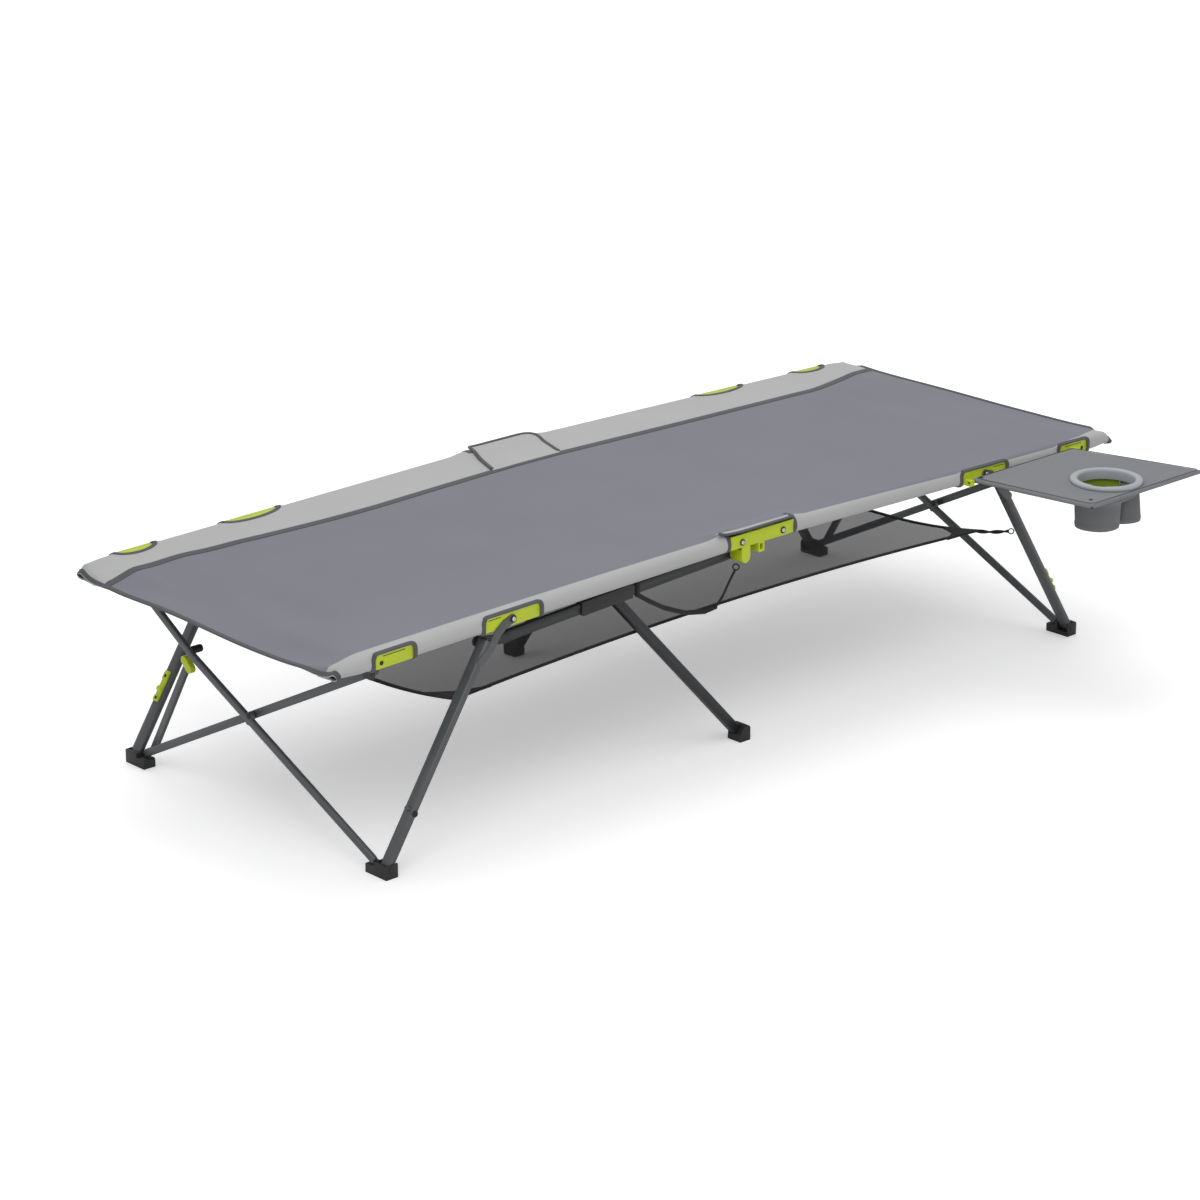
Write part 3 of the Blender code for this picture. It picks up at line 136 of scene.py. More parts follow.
links.new(unlit.outputs[0], choose.inputs[1])
links.new(glow.outputs[0], choose.inputs[2])
links.new(nodes["Principled BSDF"].outputs[0], both.inputs[0])
links.new(choose.outputs[0], both.inputs[1])
links.new(both.outputs[0], nodes["Material Output"].inputs["Surface"])
floor_mesh.materials.append(paper)

# The green mouldings: two hubs, eight rail brackets, two leg clips and two brace saddles.
# They are glossy moulded nylon with soft edges, a fine grain and faint flow marks.


def linear(*shade):
    """A colour written as 0 to 255 on screen, as the shader takes it."""
    return tuple(c / 255 / 12.92 if c < 11 else ((c / 255 + 0.055) / 1.055) ** 2.4 for c in shade)


def tint(nodes, links, source, shade, mottle, low, high):
    """Colours the shader in a shade that wanders by mottle as the source goes from low to high."""
    shades = add_node(nodes, "ValToRGB")
    for stop, place, level in zip(shades.color_ramp.elements, (low, high), (1 - mottle, 1 + mottle)):
        stop.position = place
        stop.color = (*(min(1, c * level) for c in linear(*shade)), 1)
    links.new(source, shades.inputs[0])
    links.new(shades.outputs[0], nodes["Principled BSDF"].inputs["Base Color"])


def relief(nodes, links, source, depth, strength):
    """Raises the surface where the source is high."""
    bump = add_node(nodes, "Bump", Distance=depth, Strength=strength)
    links.new(source, bump.inputs["Height"])
    links.new(bump.outputs[0], nodes["Principled BSDF"].inputs["Normal"])


def finish(name, shade, roughness, metallic=0.0, mottle=0.05, mottle_scale=16.0, grain=900.0,
           grain_depth=0.00008):
    """A moulded or coated finish: its colour wanders a little and its surface has a fine grain."""
    made = bpy.data.materials.new(name)
    nodes, links = open_nodes(made)
    shader = nodes["Principled BSDF"]
    shader.inputs["Metallic"].default_value = metallic
    place = add_node(nodes, "TexCoord")
    cloud = add_node(nodes, "TexNoise", Scale=mottle_scale, Detail=5.0)
    specks = add_node(nodes, "TexNoise", Scale=grain, Detail=2.0)
    rough = add_node(nodes, "MapRange", To_Min=roughness - 0.06, To_Max=roughness + 0.06)
    links.new(place.outputs["Object"], cloud.inputs["Vector"])
    links.new(place.outputs["Object"], specks.inputs["Vector"])
    links.new(cloud.outputs["Fac"], rough.inputs["Value"])
    links.new(rough.outputs[0], shader.inputs["Roughness"])
    tint(nodes, links, cloud.outputs["Fac"], shade, mottle, 0.3, 0.7)
    relief(nodes, links, specks.outputs["Fac"], grain_depth, 0.6)
    return made


def dress(part, material, edge=0.0005):
    """Gives a solid of the frame its finish, smooth faces and slightly rounded edges."""
    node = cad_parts[part]
    node.data.materials.clear()
    node.data.materials.append(material)
    node.data.shade_smooth()
    weld = node.modifiers.new("weld", "WELD")
    weld.merge_threshold = 0.00001
    if edge:
        soften = node.modifiers.new("soft_edges", "BEVEL")
        soften.width = edge
        soften.segments = 2
        soften.limit_method = "ANGLE"
        soften.angle_limit = math.radians(38)
        soften.use_clamp_overlap = True
    split = node.modifiers.new("crisp_edges", "EDGE_SPLIT")
    split.split_angle = math.radians(42)


green_nylon = finish("green_nylon", (187, 204, 28), 0.40, mottle=0.05, grain=700.0)
steel = finish("polished_steel", (205, 205, 208), 0.22, metallic=1.0, mottle=0.03)
# Black plastic washers, plugs, studs, caps, pins and table rivets, and also the painted shade of the brackets'
# slots and the clips' holes.
black_and_painted_shade = finish("black_plastic_and_painted_recess_shade", (26, 27, 24), 0.6, mottle=0.10)
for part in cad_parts:
    if part.endswith(("_hub", "_bracket", "_clip", "brace_cap")) and "middle" not in part:
        dress(part, green_nylon)

# Rivets. Each joint of the frame has a domed steel rivet on a black washer, or a small
# black one where only a plug is pressed in.


def mesh_piece(name, shapes, material, body, sharp=40):
    """One piece made of shapes, each a list of points and a list of faces."""
    points, faces = [], []
    for more_points, more_faces in shapes:
        faces += [[i + len(points) for i in face] for face in more_faces]
        points += [tuple(p) for p in more_points]
    mesh = bpy.data.meshes.new(name)
    mesh.from_pydata(points, [], faces)
    mesh.validate()
    mesh.materials.append(material)
    mesh.shade_smooth()
    mesh.set_sharp_from_angle(angle=math.radians(sharp))
    made = bpy.data.objects.new(name, mesh)
    bpy.context.scene.collection.objects.link(made)
    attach(made, body)
    return made


def grid_faces(rows, columns, round_columns=False, round_rows=False):
    """The faces of a grid of points, which may close on itself either way."""
    faces = []
    for row in range(rows if round_rows else rows - 1):
        for column in range(columns if round_columns else columns - 1):
            below = ((row + 1) % rows) * columns
            beside = (column + 1) % columns
            faces.append([row * columns + column, row * columns + beside, below + beside, below + column])
    return faces


def skin(rings, first_cap=True, last_cap=True, endless=False):
    """The skin over rings of as many points each, capped at its ends or closed on itself."""
    count, last = len(rings[0]), (len(rings) - 1) * len(rings[0])
    faces = grid_faces(len(rings), count, round_columns=True, round_rows=endless)
    if first_cap and not endless:
        faces.append(list(range(count))[::-1])
    if last_cap and not endless:
        faces.append([last + i for i in range(count)])
    return [point for ring in rings for point in ring], faces


def turned(centre, axis, profile, sides=24):
    """A turned solid. The profile gives radius and height along the axis, from base to tip."""
    axis = Vector(axis).normalized()
    first = axis.orthogonal().normalized()
    second = axis.cross(first)
    angles = [math.tau * i / sides for i in range(sides)]
    return skin([[Vector(centre) + axis * h + (first * math.cos(a) + second * math.sin(a)) * r
                  for a in angles] for r, h in profile])


WASHER = ((0.0066, -0.0008), (0.0066, 0.0006), (0.0061, 0.0010), (0.0046, 0.0010))
DOME = ((0.0046, 0.0000), (0.0046, 0.0014), (0.0040, 0.0023), (0.0027, 0.0030), (0.0012, 0.0033))
PLUG = ((0.0042, -0.0006), (0.0042, 0.0007), (0.0032, 0.0013), (0.0012, 0.0014))
ROWS, ENDS = (("near", -1), ("far", 1)), (("left", -1), ("right", 1))
RAIL_SLOPE = math.radians(1.08)
HUB_RIVET, HUB_HEIGHT, RAIL_SIDE = 0.056, 0.438, 0.377
BRACKET_FACE = 0.3915
HUB_FACE, EAR_FACE = BRACKET_FACE + 0.0018, BRACKET_FACE + 0.0051


def rail_height(x):
    """Height of the rail's axis. The hub is level between its rivets."""
    return HUB_HEIGHT - max(abs(x) - HUB_RIVET, 0.0) * math.tan(RAIL_SLOPE)


def rail_place(distance):
    """(x, z) of a rivet at this distance along the rail from its hub rivet."""
    return (HUB_RIVET + distance * math.cos(RAIL_SLOPE), HUB_HEIGHT - distance * math.sin(RAIL_SLOPE))


QUARTER, END = rail_place(0.5945), rail_place(0.893)
for row, side in ROWS:
    outward = (0, side, 0)
    hub_places = [(x, MIDDLE_Y + side * HUB_FACE, HUB_HEIGHT) for x in (-HUB_RIVET, HUB_RIVET)]
    mesh_piece(f"{row}_hub_washers", [turned(p, outward, WASHER) for p in hub_places], black_and_painted_shade,
               f"{row}_hub")
    mesh_piece(f"{row}_hub_rivets", [turned(p, outward, DOME) for p in hub_places], steel,
               f"{row}_hub")
    for end, out in ENDS:
        ear = (out * QUARTER[0], MIDDLE_Y + side * EAR_FACE, QUARTER[1])
        plug = (out * (END[0] + 0.0105), MIDDLE_Y + side * BRACKET_FACE, END[1] - 0.0035)
        for name, place, profile, material, slot in (
                ("ear_washer", ear, WASHER, black_and_painted_shade, "black_plastic"),
                ("ear_rivet", ear, DOME, steel, "steel_pin"),
                ("bracket_plug", plug, PLUG, black_and_painted_shade, "black_plastic")):
            mesh_piece(f"{row}_{end}_{name}", [turned(place, outward, profile)], material,
                       f"{row}_{end}_rail")

# Small dark details of the mouldings: a slot along the top of each bracket's outer face and two
# holes in each leg clip, each drawn as a thin dark patch of painted shade, a stud on the legs
# without a clip, and a cap on each brace's stop.

LEG_TOP = (QUARTER[0] + 0.0551, QUARTER[1] - 0.0317)
FOOT_PIN = (END[0], 0.019)
LEG_SLOPE = math.atan2(LEG_TOP[1] - FOOT_PIN[1], FOOT_PIN[0] - LEG_TOP[0])


def leg_point(distance, offset):
    """(x, z) at a distance up a leg from its foot's pin, offset towards its outer face."""
    return (FOOT_PIN[0] - distance * math.cos(LEG_SLOPE) + offset * math.sin(LEG_SLOPE),
            FOOT_PIN[1] + distance * math.sin(LEG_SLOPE) + offset * math.cos(LEG_SLOPE))


def slab(centre, along, across, out, size, depth=0.0008):
    """A low block with cut corners, standing a little proud of a face."""
    a, b = size[0] / 2, size[1] / 2
    cut = min(a, b) * 0.45
    corners = [(-a + cut, -b), (a - cut, -b), (a, -b + cut), (a, b - cut), (a - cut, b), (-a + cut, b),
               (-a, b - cut), (-a, -b + cut)]
    points, faces = skin([[Vector(centre) + along * p + across * q + out * h for p, q in corners]
                          for h in (-depth, depth * 0.35)])
    mirrored = along.cross(across).dot(out) < 0
    return points, [face[::-1] for face in faces] if mirrored else faces


LEG_HALF, LEG_MIDDLE, LEG_FACE = 0.01265, 0.380, 0.3935
SLOTS, SLOT_ABOVE, SLOT_HEIGHT = ((0.692, 0.030), (0.930, 0.052)), 0.0088, 0.0013
HOLES, HOLE_SIZE, STUD_AT = (0.161, 0.115), (0.0060, 0.0066), 0.108
STUD = ((0.0062, -0.0010), (0.0062, 0.0012), (0.0052, 0.0020), (0.0036, 0.0012), (0.0012, 0.0012))
STOP_CAP = ((0.0066, 0.0), (0.0076, 0.0010), (0.0076, 0.0195), (0.0068, 0.0216), (0.0040, 0.0226),
            (0.0012, 0.0228))
for row, side in ROWS:
    for end, out in ENDS:
        corner, face = f"{row}_{end}", Vector((0, side, 0))
        along = Vector((out * math.cos(RAIL_SLOPE), 0, -math.sin(RAIL_SLOPE)))
        # Each slot is a thin dark patch standing on the bracket's face: painted shade where a recess would be.
        slots = []
        for u, length in SLOTS:
            place = (out * u, MIDDLE_Y + side * BRACKET_FACE, rail_height(u) + SLOT_ABOVE)
            slots.append(slab(place, along, face.cross(along), face, (length, SLOT_HEIGHT)))
        mesh_piece(f"{corner}_bracket_slot_shade", slots, black_and_painted_shade, f"{corner}_rail", sharp=20)
        if corner in ("far_left", "near_right"):
            up = Vector((-out * math.cos(LEG_SLOPE), 0, math.sin(LEG_SLOPE)))
            skyward = Vector((out * math.sin(LEG_SLOPE), 0, math.cos(LEG_SLOPE)))
            # Each hole is a thin dark patch on the clip: painted shade where a hole would be.
            holes = []
            for x, z in [leg_point(distance, LEG_HALF) for distance in HOLES]:
                holes.append(slab((out * x, MIDDLE_Y + side * LEG_MIDDLE, z), up, Vector((0, 1, 0)), skyward,
                                  HOLE_SIZE))
            mesh_piece(f"{corner}_clip_hole_shade", holes, black_and_painted_shade, f"{corner}_leg", sharp=20)
        else:
            x, z = leg_point(STUD_AT, 0.0)
            mesh_piece(f"{corner}_leg_stud", [turned((out * x, MIDDLE_Y + side * LEG_FACE, z), face, STUD)],
                       black_and_painted_shade, f"{corner}_leg")

for end, out in ENDS:
    place = (out * END[0] + 0.0008, MIDDLE_Y + 0.185, 0.2852)
    mesh_piece(f"{end}_stop_cap", [turned(place, (1, 0, 0), STOP_CAP)], black_and_painted_shade, f"{end}_bent_bar")

# The grey tubes: rails, legs, crossed bars and braces. They are steel tube with a satin
# powder coat, which shows a fine orange-peel grain.

grey_coat = finish("grey_powder_coat", (88, 91, 93), 0.42, metallic=0.25, mottle=0.07, mottle_scale=30.0,
                   grain=1400.0, grain_depth=0.00010)
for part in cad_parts:
    if part.endswith(("_rail", "_left_leg", "_right_leg", "straight_bar", "bent_bar", "_brace")):
        dress(part, grey_coat, 0.0 if part.endswith("_rail") else 0.0004)

# The black parts: support bars, middle legs, cuffs, yokes, leg plugs and feet. The bars are
# coated steel, and the fittings are moulded nylon with a duller, rougher skin.

black_coat = finish("black_powder_coat", (47, 48, 50), 0.38, metallic=0.25, mottle=0.08, mottle_scale=30.0,
                    grain=1400.0)
black_nylon = finish("black_nylon", (36, 36, 38), 0.50, mottle=0.10, grain=600.0, grain_depth=0.00012)
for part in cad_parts:
    if part.endswith(("support_bar", "middle_leg")) or part == "side_table_frame":
        dress(part, black_coat, 0.0004)
    elif part.endswith(("_yoke", "leg_plug", "_foot", "middle_bracket")):
        dress(part, black_nylon, 0.0008)
    elif part.endswith("cross_pin"):
        dress(part, black_and_painted_shade, 0.0003)

# The bed is one sling of woven polyester. Its dark middle is sewn between two pale strips,
# and each strip closes round a rail as a sleeve, cut away where a bracket or hub stands.


BAND_SCALE = 0.314


def woven(name, shade, thread=0.0011, mottle=0.035, depth=0.00010):
    """Plain-woven cloth: warp and weft threads, with a soft cloudiness in the colour."""
    made = bpy.data.materials.new(name)
    nodes, links = open_nodes(made)
    for socket, value in (("Roughness", 0.88), ("Sheen Weight", 0.15), ("Specular IOR Level", 0.25)):
        nodes["Principled BSDF"].inputs[socket].default_value = value
    place, apart, across, together, weave, blend = (add_node(nodes, kind) for kind in (
        "TexCoord", "SeparateXYZ", "Math", "CombineXYZ", "Math", "Math"))
    links.new(place.outputs["Object"], apart.inputs[0])
    links.new(apart.outputs[1], across.inputs[0])
    links.new(apart.outputs[2], across.inputs[1])
    links.new(apart.outputs[0], together.inputs[0])
    links.new(across.outputs[0], together.inputs[1])
    weave.operation = "MULTIPLY"
    for i, direction in enumerate("XY"):
        threads = add_node(nodes, "TexWave", Scale=BAND_SCALE / thread, Distortion=0.4)
        threads.bands_direction = direction
        links.new(together.outputs[0], threads.inputs["Vector"])
        links.new(threads.outputs["Fac"], weave.inputs[i])
    cloud = add_node(nodes, "TexNoise", Scale=5.0, Detail=6.0)
    links.new(place.outputs["Object"], cloud.inputs["Vector"])
    blend.operation = "MULTIPLY_ADD"
    blend.inputs[1].default_value = 0.35
    links.new(weave.outputs[0], blend.inputs[0])
    links.new(cloud.outputs["Fac"], blend.inputs[2])
    tint(nodes, links, blend.outputs[0], shade, mottle, 0.35, 0.85)
    relief(nodes, links, weave.outputs[0], depth, 0.5)
    return made


dark_cloth = woven("dark_polyester", (123, 123, 134))
pale_cloth = woven("pale_polyester", (178, 179, 178))
band_cloth = woven("grey_binding", (84, 85, 90), thread=0.0009, mottle=0.06)

BED_END, BED_SPLIT = 1.060, 0.0545
SLEEVE_RADIUS, SLEEVE_TURN, SLEEVE_SEW = 0.016, 3.752, 0.480
RETURN_SLOPE, SEWN_BELOW = 0.819, 0.0024
DIP_MIDDLE, DIP_LEFT, DIP_RIGHT = 0.012, 0.030, 0.008
HUB_SPAN, HUB_CUT, FOLD_EDGE = 0.0880, 0.3612, 0.345
HUB_TOP, HUB_FLAT, HUB_CLEAR = HUB_HEIGHT + 0.0195, 0.092, 0.135
PINCH_START, PINCH_END, PINCH, DROOP_START, END_CURL = 1.000, 1.046, 0.0030, 1.0455, 0.0163
FOLD_DEPTH, RIGHT_FOLDS, UNEVENNESS = 0.0030, 0.25, 0.0016
QUARTER_SPAN, END_SPAN = (0.5804, 0.7166), (0.8844, 0.9756)
CLOTH = 0.0013


def ease(value, start, end):
    """Runs smoothly from 0 at start to 1 at end."""
    share = min(max((value - start) / (end - start), 0.0), 1.0)
    return share * share * (3 - 2 * share)


def folds(x, y):
    """The sling's slack: shallow folds beside the ends and a faint unevenness in the middle."""
    taut = 1 - (min(abs(y), RAIL_SIDE) / RAIL_SIDE) ** 2
    near_end = ease(abs(x), 0.62, 1.02)
    lines = math.sin(math.tau * (abs(x) + 0.22 * y) / 0.13) * ease(y, -0.40, 0.25)
    lines += 0.5 * math.sin(math.tau * (abs(x) - 0.25 * y) / 0.19)
    soft = noise.noise(Vector((x * 2.6, y * 3.4, 0.7)))
    return taut * (FOLD_DEPTH * near_end * lines * (1.0 if x < 0 else RIGHT_FOLDS) + UNEVENNESS * soft)


def end_shape(x):
    """How far the bed is pinched and droops at its ends, and how high it rises over a hub."""
    reach = abs(x)
    rise = (HUB_TOP - rail_height(x) - SLEEVE_RADIUS) * (1 - ease(reach, HUB_FLAT, HUB_CLEAR))
    return ease(reach, PINCH_START, PINCH_END), ease(reach, DROOP_START, BED_END), rise


def cloth_top(w, x, side):
    """Height of the bed's top between the rails. It flattens and curls down at its two ends."""
    pinch, droop, rise = end_shape(x)
    dip = DIP_MIDDLE + ((DIP_LEFT if x < 0 else DIP_RIGHT) - DIP_MIDDLE) * (x / BED_END) ** 2
    hang = 2 + 6 * ease(abs(x), 0.98, BED_END)
    z = rail_height(x) + SLEEVE_RADIUS - dip * (1 - (w / RAIL_SIDE) ** hang) + folds(x, side * w)
    z += rise * ease(w, 0.325, 0.360) - PINCH * pinch * ease(w, 0.34, RAIL_SIDE)
    return z - END_CURL * droop * ease(w, 0.28 if x < 0 else 0.33, 0.365)


def cloth_place(s, x, lift=0.0):
    """A point on the bed. s runs across from the middle, over a rail, round it and back inside."""
    side, w = (1 if s >= 0 else -1), abs(s)
    if w <= RAIL_SIDE:
        return Vector((x, MIDDLE_Y + side * w, cloth_top(w, x, side) + lift))
    height, (pinch, droop, rise) = rail_height(x), end_shape(x)
    grip = max(1 - ease(abs(abs(x) - (low + high) / 2), (high - low) / 2, (high - low) / 2 + 0.012)
               for low, high in (QUARTER_SPAN, END_SPAN))
    angle = math.pi / 2 - min((w - RAIL_SIDE) / SLEEVE_RADIUS, SLEEVE_TURN)
    power = 2 + 4 * grip
    across, up = math.cos(angle), math.sin(angle)
    radius = SLEEVE_RADIUS * (1 + 0.04 * grip) * (abs(across) ** power + abs(up) ** power) ** (-1 / power)
    radius += lift - PINCH * pinch
    v = RAIL_SIDE + radius * across * (1 - 0.20 * droop) + 0.003 * droop * max(0.0, across)
    z = radius * up * (1 - 0.60 * droop) - 0.0085 * droop
    past = (w - RAIL_SIDE) - SLEEVE_RADIUS * SLEEVE_TURN
    if past > 0:
        last = SLEEVE_SEW - RAIL_SIDE - SLEEVE_RADIUS * SLEEVE_TURN
        sewn = cloth_top(v - last * RETURN_SLOPE, x, side) - height - SEWN_BELOW
        v -= past * RETURN_SLOPE
        z += (sewn - z) * past / last
    return Vector((x, MIDDLE_Y + side * v, height + z + rise * max(0.0, up)))


def cloth_normal(s, x):
    """The outward direction of the bed's surface."""
    step = 0.0008
    along = cloth_place(s, min(x + step, BED_END)) - cloth_place(s, max(x - step, -BED_END))
    across = cloth_place(s + step, x) - cloth_place(s - step, x)
    return along.cross(across).normalized()


def stations(low, high, step, extra=()):
    """Places along the cot from low to high, no further apart than step, with some exact ones."""
    marks = sorted({low, high, *(m for m in extra if low < m < high)})
    found = []
    for a, b in zip(marks, marks[1:]):
        count = max(1, math.ceil((b - a) / step - 1e-6))
        found += [a + (b - a) * i / count for i in range(count)]
    return found + [high]


def thicken(piece, thickness):
    """Gives a sheet its thickness beneath its face, with crisp cut edges."""
    thick = piece.modifiers.new("cloth_thickness", "SOLIDIFY")
    thick.thickness = thickness
    thick.offset = -1.0
    split = piece.modifiers.new("crisp_edges", "EDGE_SPLIT")
    split.split_angle = math.radians(60)
    return piece


SPAN_MARKS = [low + (high - low) * i / 12 for low, high in (QUARTER_SPAN, END_SPAN) for i in range(13)]
CUTS = sorted(out * mark for out in (-1, 1) for mark in (
    HUB_SPAN, *SPAN_MARKS, 0.095, 0.115, HUB_CLEAR, DROOP_START, 1.0480, 1.0505, 1.0530, 1.0560))


def cloth_panel(name, xs, lines, cells, material, body, keep_face=None, lift=0.0):
    """A panel of the bed in bands between lines across it, each a place or a rule for one, as thin cloth."""
    rows = []
    for x in xs:
        marks = [line(x) if callable(line) else line for line in lines]
        row = []
        for a, b, count in zip(marks, marks[1:], cells):
            row += [a + (b - a) * i / count for i in range(count)]
        rows.append(row + [marks[-1]])
    faces = []
    for r, face in enumerate(grid_faces(len(xs), len(rows[0]))):
        row, column = divmod(r, len(rows[0]) - 1)
        middle_x = (xs[row] + xs[row + 1]) / 2
        middle_s = (rows[row][column] + rows[row + 1][column + 1]) / 2
        if keep_face is None or keep_face(middle_x, middle_s):
            faces.append(face[::-1])
    points = [cloth_place(s, x, lift) for x, row in zip(xs, rows) for s in row]
    used = sorted({i for face in faces for i in face})
    order = {old: new for new, old in enumerate(used)}
    faces = [[order[i] for i in face] for face in faces]
    panel = mesh_piece(name, [([points[i] for i in used], faces)], material, body, sharp=80)
    return thicken(panel, CLOTH)


def near_seam(x):
    """Where the dark middle meets the near pale strip, measured out from the cot's middle."""
    v = float(np.interp(x, (-1.06, -0.70, -0.40, -0.11, 0.0, 0.11, 0.45, 0.62, 0.88, 0.97, 1.02, 1.06),
                        (0.352, 0.358, 0.364, 0.374, 0.377, 0.378, 0.384, 0.387, 0.387, 0.375, 0.360, 0.3475)))
    if v <= RAIL_SIDE:
        return v
    return RAIL_SIDE + SLEEVE_RADIUS * (math.pi / 2 - math.acos((v - RAIL_SIDE) / SLEEVE_RADIUS))


NEAR_OPENING = RAIL_SIDE + SLEEVE_RADIUS * math.radians(48)
FAR_OPENING, FAR_ROUND = 0.386, 0.0215
BAND_IN, BAND_OUT, SEAM_LAP = 0.250, 0.266, 0.004


def seam_shift(x):
    """How far the far seam runs out towards the rail near the two ends."""
    return 0.045 * ease(-x, 0.40, 1.00) + 0.047 * ease(x, 0.80, 1.08)


def far_seam(v):
    """The rule for a line beside the far seam, v out from the cot's middle where the seam is straight."""
    return lambda x: v + seam_shift(x)


def far_opening(x):
    """The far sleeve's openings are round at their inner edge."""
    for low, high in (QUARTER_SPAN, END_SPAN):
        share = min(max((abs(x) - low) / (high - low), 0.0), 1.0)
        if 0.0 < share < 1.0:
            return FAR_OPENING - FAR_ROUND + FAR_ROUND * (1 - math.sqrt(1 - (2 * share - 1) ** 2))
    return FAR_OPENING


def kept(x, s):
    """True where the cloth stays. It is cut away over the hubs and in the brackets' openings."""
    if abs(x) < HUB_SPAN:
        return abs(s) < HUB_CUT
    beside_bracket = any(low < abs(x) < high for low, high in (QUARTER_SPAN, END_SPAN))
    return not (beside_bracket and abs(s) > (far_opening(x) if s > 0 else NEAR_OPENING))


FOLD, FOLD_KEEP, EDGE_WIDTH = "near_left_fold", 0.2957, 0.048


def crumple(piece):
    """Gives the piece its own copy of its mesh."""
    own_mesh(piece)


for end, low, high in (("left", -BED_END, -BED_SPLIT), ("right", BED_SPLIT, BED_END),
                       ("middle", -BED_SPLIT, BED_SPLIT)):
    near_body = "near_hub" if end == "middle" else f"near_{end}_rail"
    far_body = near_body.replace("near", "far")
    xs = stations(low, high, 0.0125, CUTS)
    dark = cloth_panel(f"{end}_dark_panel", xs, [-FOLD_EDGE, far_seam(BAND_IN + SEAM_LAP)], [48],
                       dark_cloth, near_body)
    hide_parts(f"bed_{end}")
    pale = cloth_panel(f"{end}_far_strip", xs, [far_seam(BAND_OUT - SEAM_LAP), FOLD_EDGE], [8],
                       pale_cloth, near_body)
    seam = cloth_panel(f"{end}_far_seam", xs, [far_seam(BAND_IN), far_seam(BAND_OUT)], [4],
                       band_cloth, near_body, lift=0.0012)
    for piece in (dark, pale, seam):
        crumple(piece)
    if end == "middle":
        continue
    for name, lines, cells, material, body, width in (
            (f"{end}_near_edge", [lambda x: -near_seam(x), -FOLD_EDGE], [8],
             dark_cloth, near_body, EDGE_WIDTH),
            (f"near_{end}_sleeve", [-SLEEVE_SEW, -NEAR_OPENING, lambda x: -near_seam(x)], [22, 6],
             pale_cloth, near_body, SLEEVE_SEW - FOLD_EDGE),
            (f"far_{end}_sleeve", [FOLD_EDGE, far_opening, SLEEVE_SEW], [8, 24],
             pale_cloth, far_body, SLEEVE_SEW - FOLD_EDGE)):
        cloth_panel(name, xs, lines, cells, material, body, kept)

# Bindings of grey tape edge every cut in the cloth: round each bracket's opening, at the
# sleeves' inner ends, and along both ends of the bed, where they curl into a small tip.


def ribbon(places, normals, width, thickness, closed=False):
    """A flat tape with soft edges along a line of places, lying square to the normals."""
    w, t, count = width / 2, thickness / 2, len(places)
    section = ((-w, -t * 0.4), (-w * 0.82, -t), (w * 0.82, -t), (w, -t * 0.4),
               (w, t * 0.4), (w * 0.82, t), (-w * 0.82, t), (-w, t * 0.4))
    rings = []
    for i, here in enumerate(places):
        before = places[(i - 1) % count] if closed or i else here
        after = places[(i + 1) % count] if closed or i < count - 1 else here
        along = (after - before).normalized()
        side = along.cross(normals[i]).normalized()
        up = side.cross(along).normalized()
        rings.append([here + side * a + up * b for a, b in section])
    return skin(rings, endless=closed)


TAPE_INSET, TAPE_LOW, CORNER = 0.0030, SLEEVE_SEW - 0.004, 0.011
END_TAPE, END_TAPE_THICK = 0.0095, 0.0042


def cloth_tape(marks, width=0.0090, thickness=0.0034):
    """A tape laid on the bed along marks, each an (s, x) pair."""
    return ribbon([cloth_place(s, x, -CLOTH / 2) for s, x in marks], [cloth_normal(s, x) for s, x in marks],
                  width, thickness)


def opening_marks(side, out, low, high):
    """The edge of a bracket's opening, up the sleeve, over the top and down. A far one's top is round."""
    a, b = low - TAPE_INSET, high + TAPE_INSET
    if side > 0:
        top = FAR_OPENING
        turns = [math.pi * i / 32 for i in range(1, 32)]
        over = [(top - (FAR_ROUND + TAPE_INSET) * math.sin(q), (a + b) / 2 - (b - a) / 2 * math.cos(q))
                for q in turns]
    else:
        top = NEAR_OPENING - TAPE_INSET + CORNER
        turns = [math.pi / 2 * i / 6 for i in range(7)]
        over = [(top - CORNER * math.sin(q), a + CORNER - CORNER * math.cos(q)) for q in turns]
        over += [(NEAR_OPENING - TAPE_INSET, a + CORNER + (b - a - 2 * CORNER) * i / 12) for i in range(1, 12)]
        over += [(top - CORNER * math.cos(q), b - CORNER + CORNER * math.sin(q)) for q in turns]
    climb = [TAPE_LOW + (top - TAPE_LOW) * i / 16 for i in range(16)]
    line = [(w, a) for w in climb] + over + [(w, b) for w in climb[::-1]]
    return [(side * w, out * u) for w, u in line]


def end_hem(out, start, stop, count):
    """The tape across one end of the bed, from one place across it to another."""
    return cloth_tape([(start + (stop - start) * i / count, out * (BED_END - END_TAPE / 2))
                       for i in range(count + 1)], END_TAPE, END_TAPE_THICK)


for row, side in ROWS:
    for end, out in ENDS:
        beside_hub = [(side * (HUB_CUT + (TAPE_LOW - HUB_CUT) * i / 24), out * (HUB_SPAN + TAPE_INSET))
                      for i in range(25)]
        tapes = [cloth_tape(opening_marks(side, out, *span)) for span in (QUARTER_SPAN, END_SPAN)]
        tapes += [cloth_tape(beside_hub), end_hem(out, side * FOLD_EDGE, side * SLEEVE_SEW, 40)]
        mesh_piece(f"{row}_{end}_bindings", tapes, band_cloth, f"{row}_{end}_rail")
for end, out in ENDS:
    crumple(mesh_piece(f"{end}_end_hem", [end_hem(out, -FOLD_EDGE, FOLD_EDGE, 60)], band_cloth,
                       f"near_{end}_rail"))

# The two flaps over the hubs, and the bed's cloth beneath them. The far flap is a bound piece
# of pale cloth with a round corner. The near one shows only as a narrow strip on the hub.

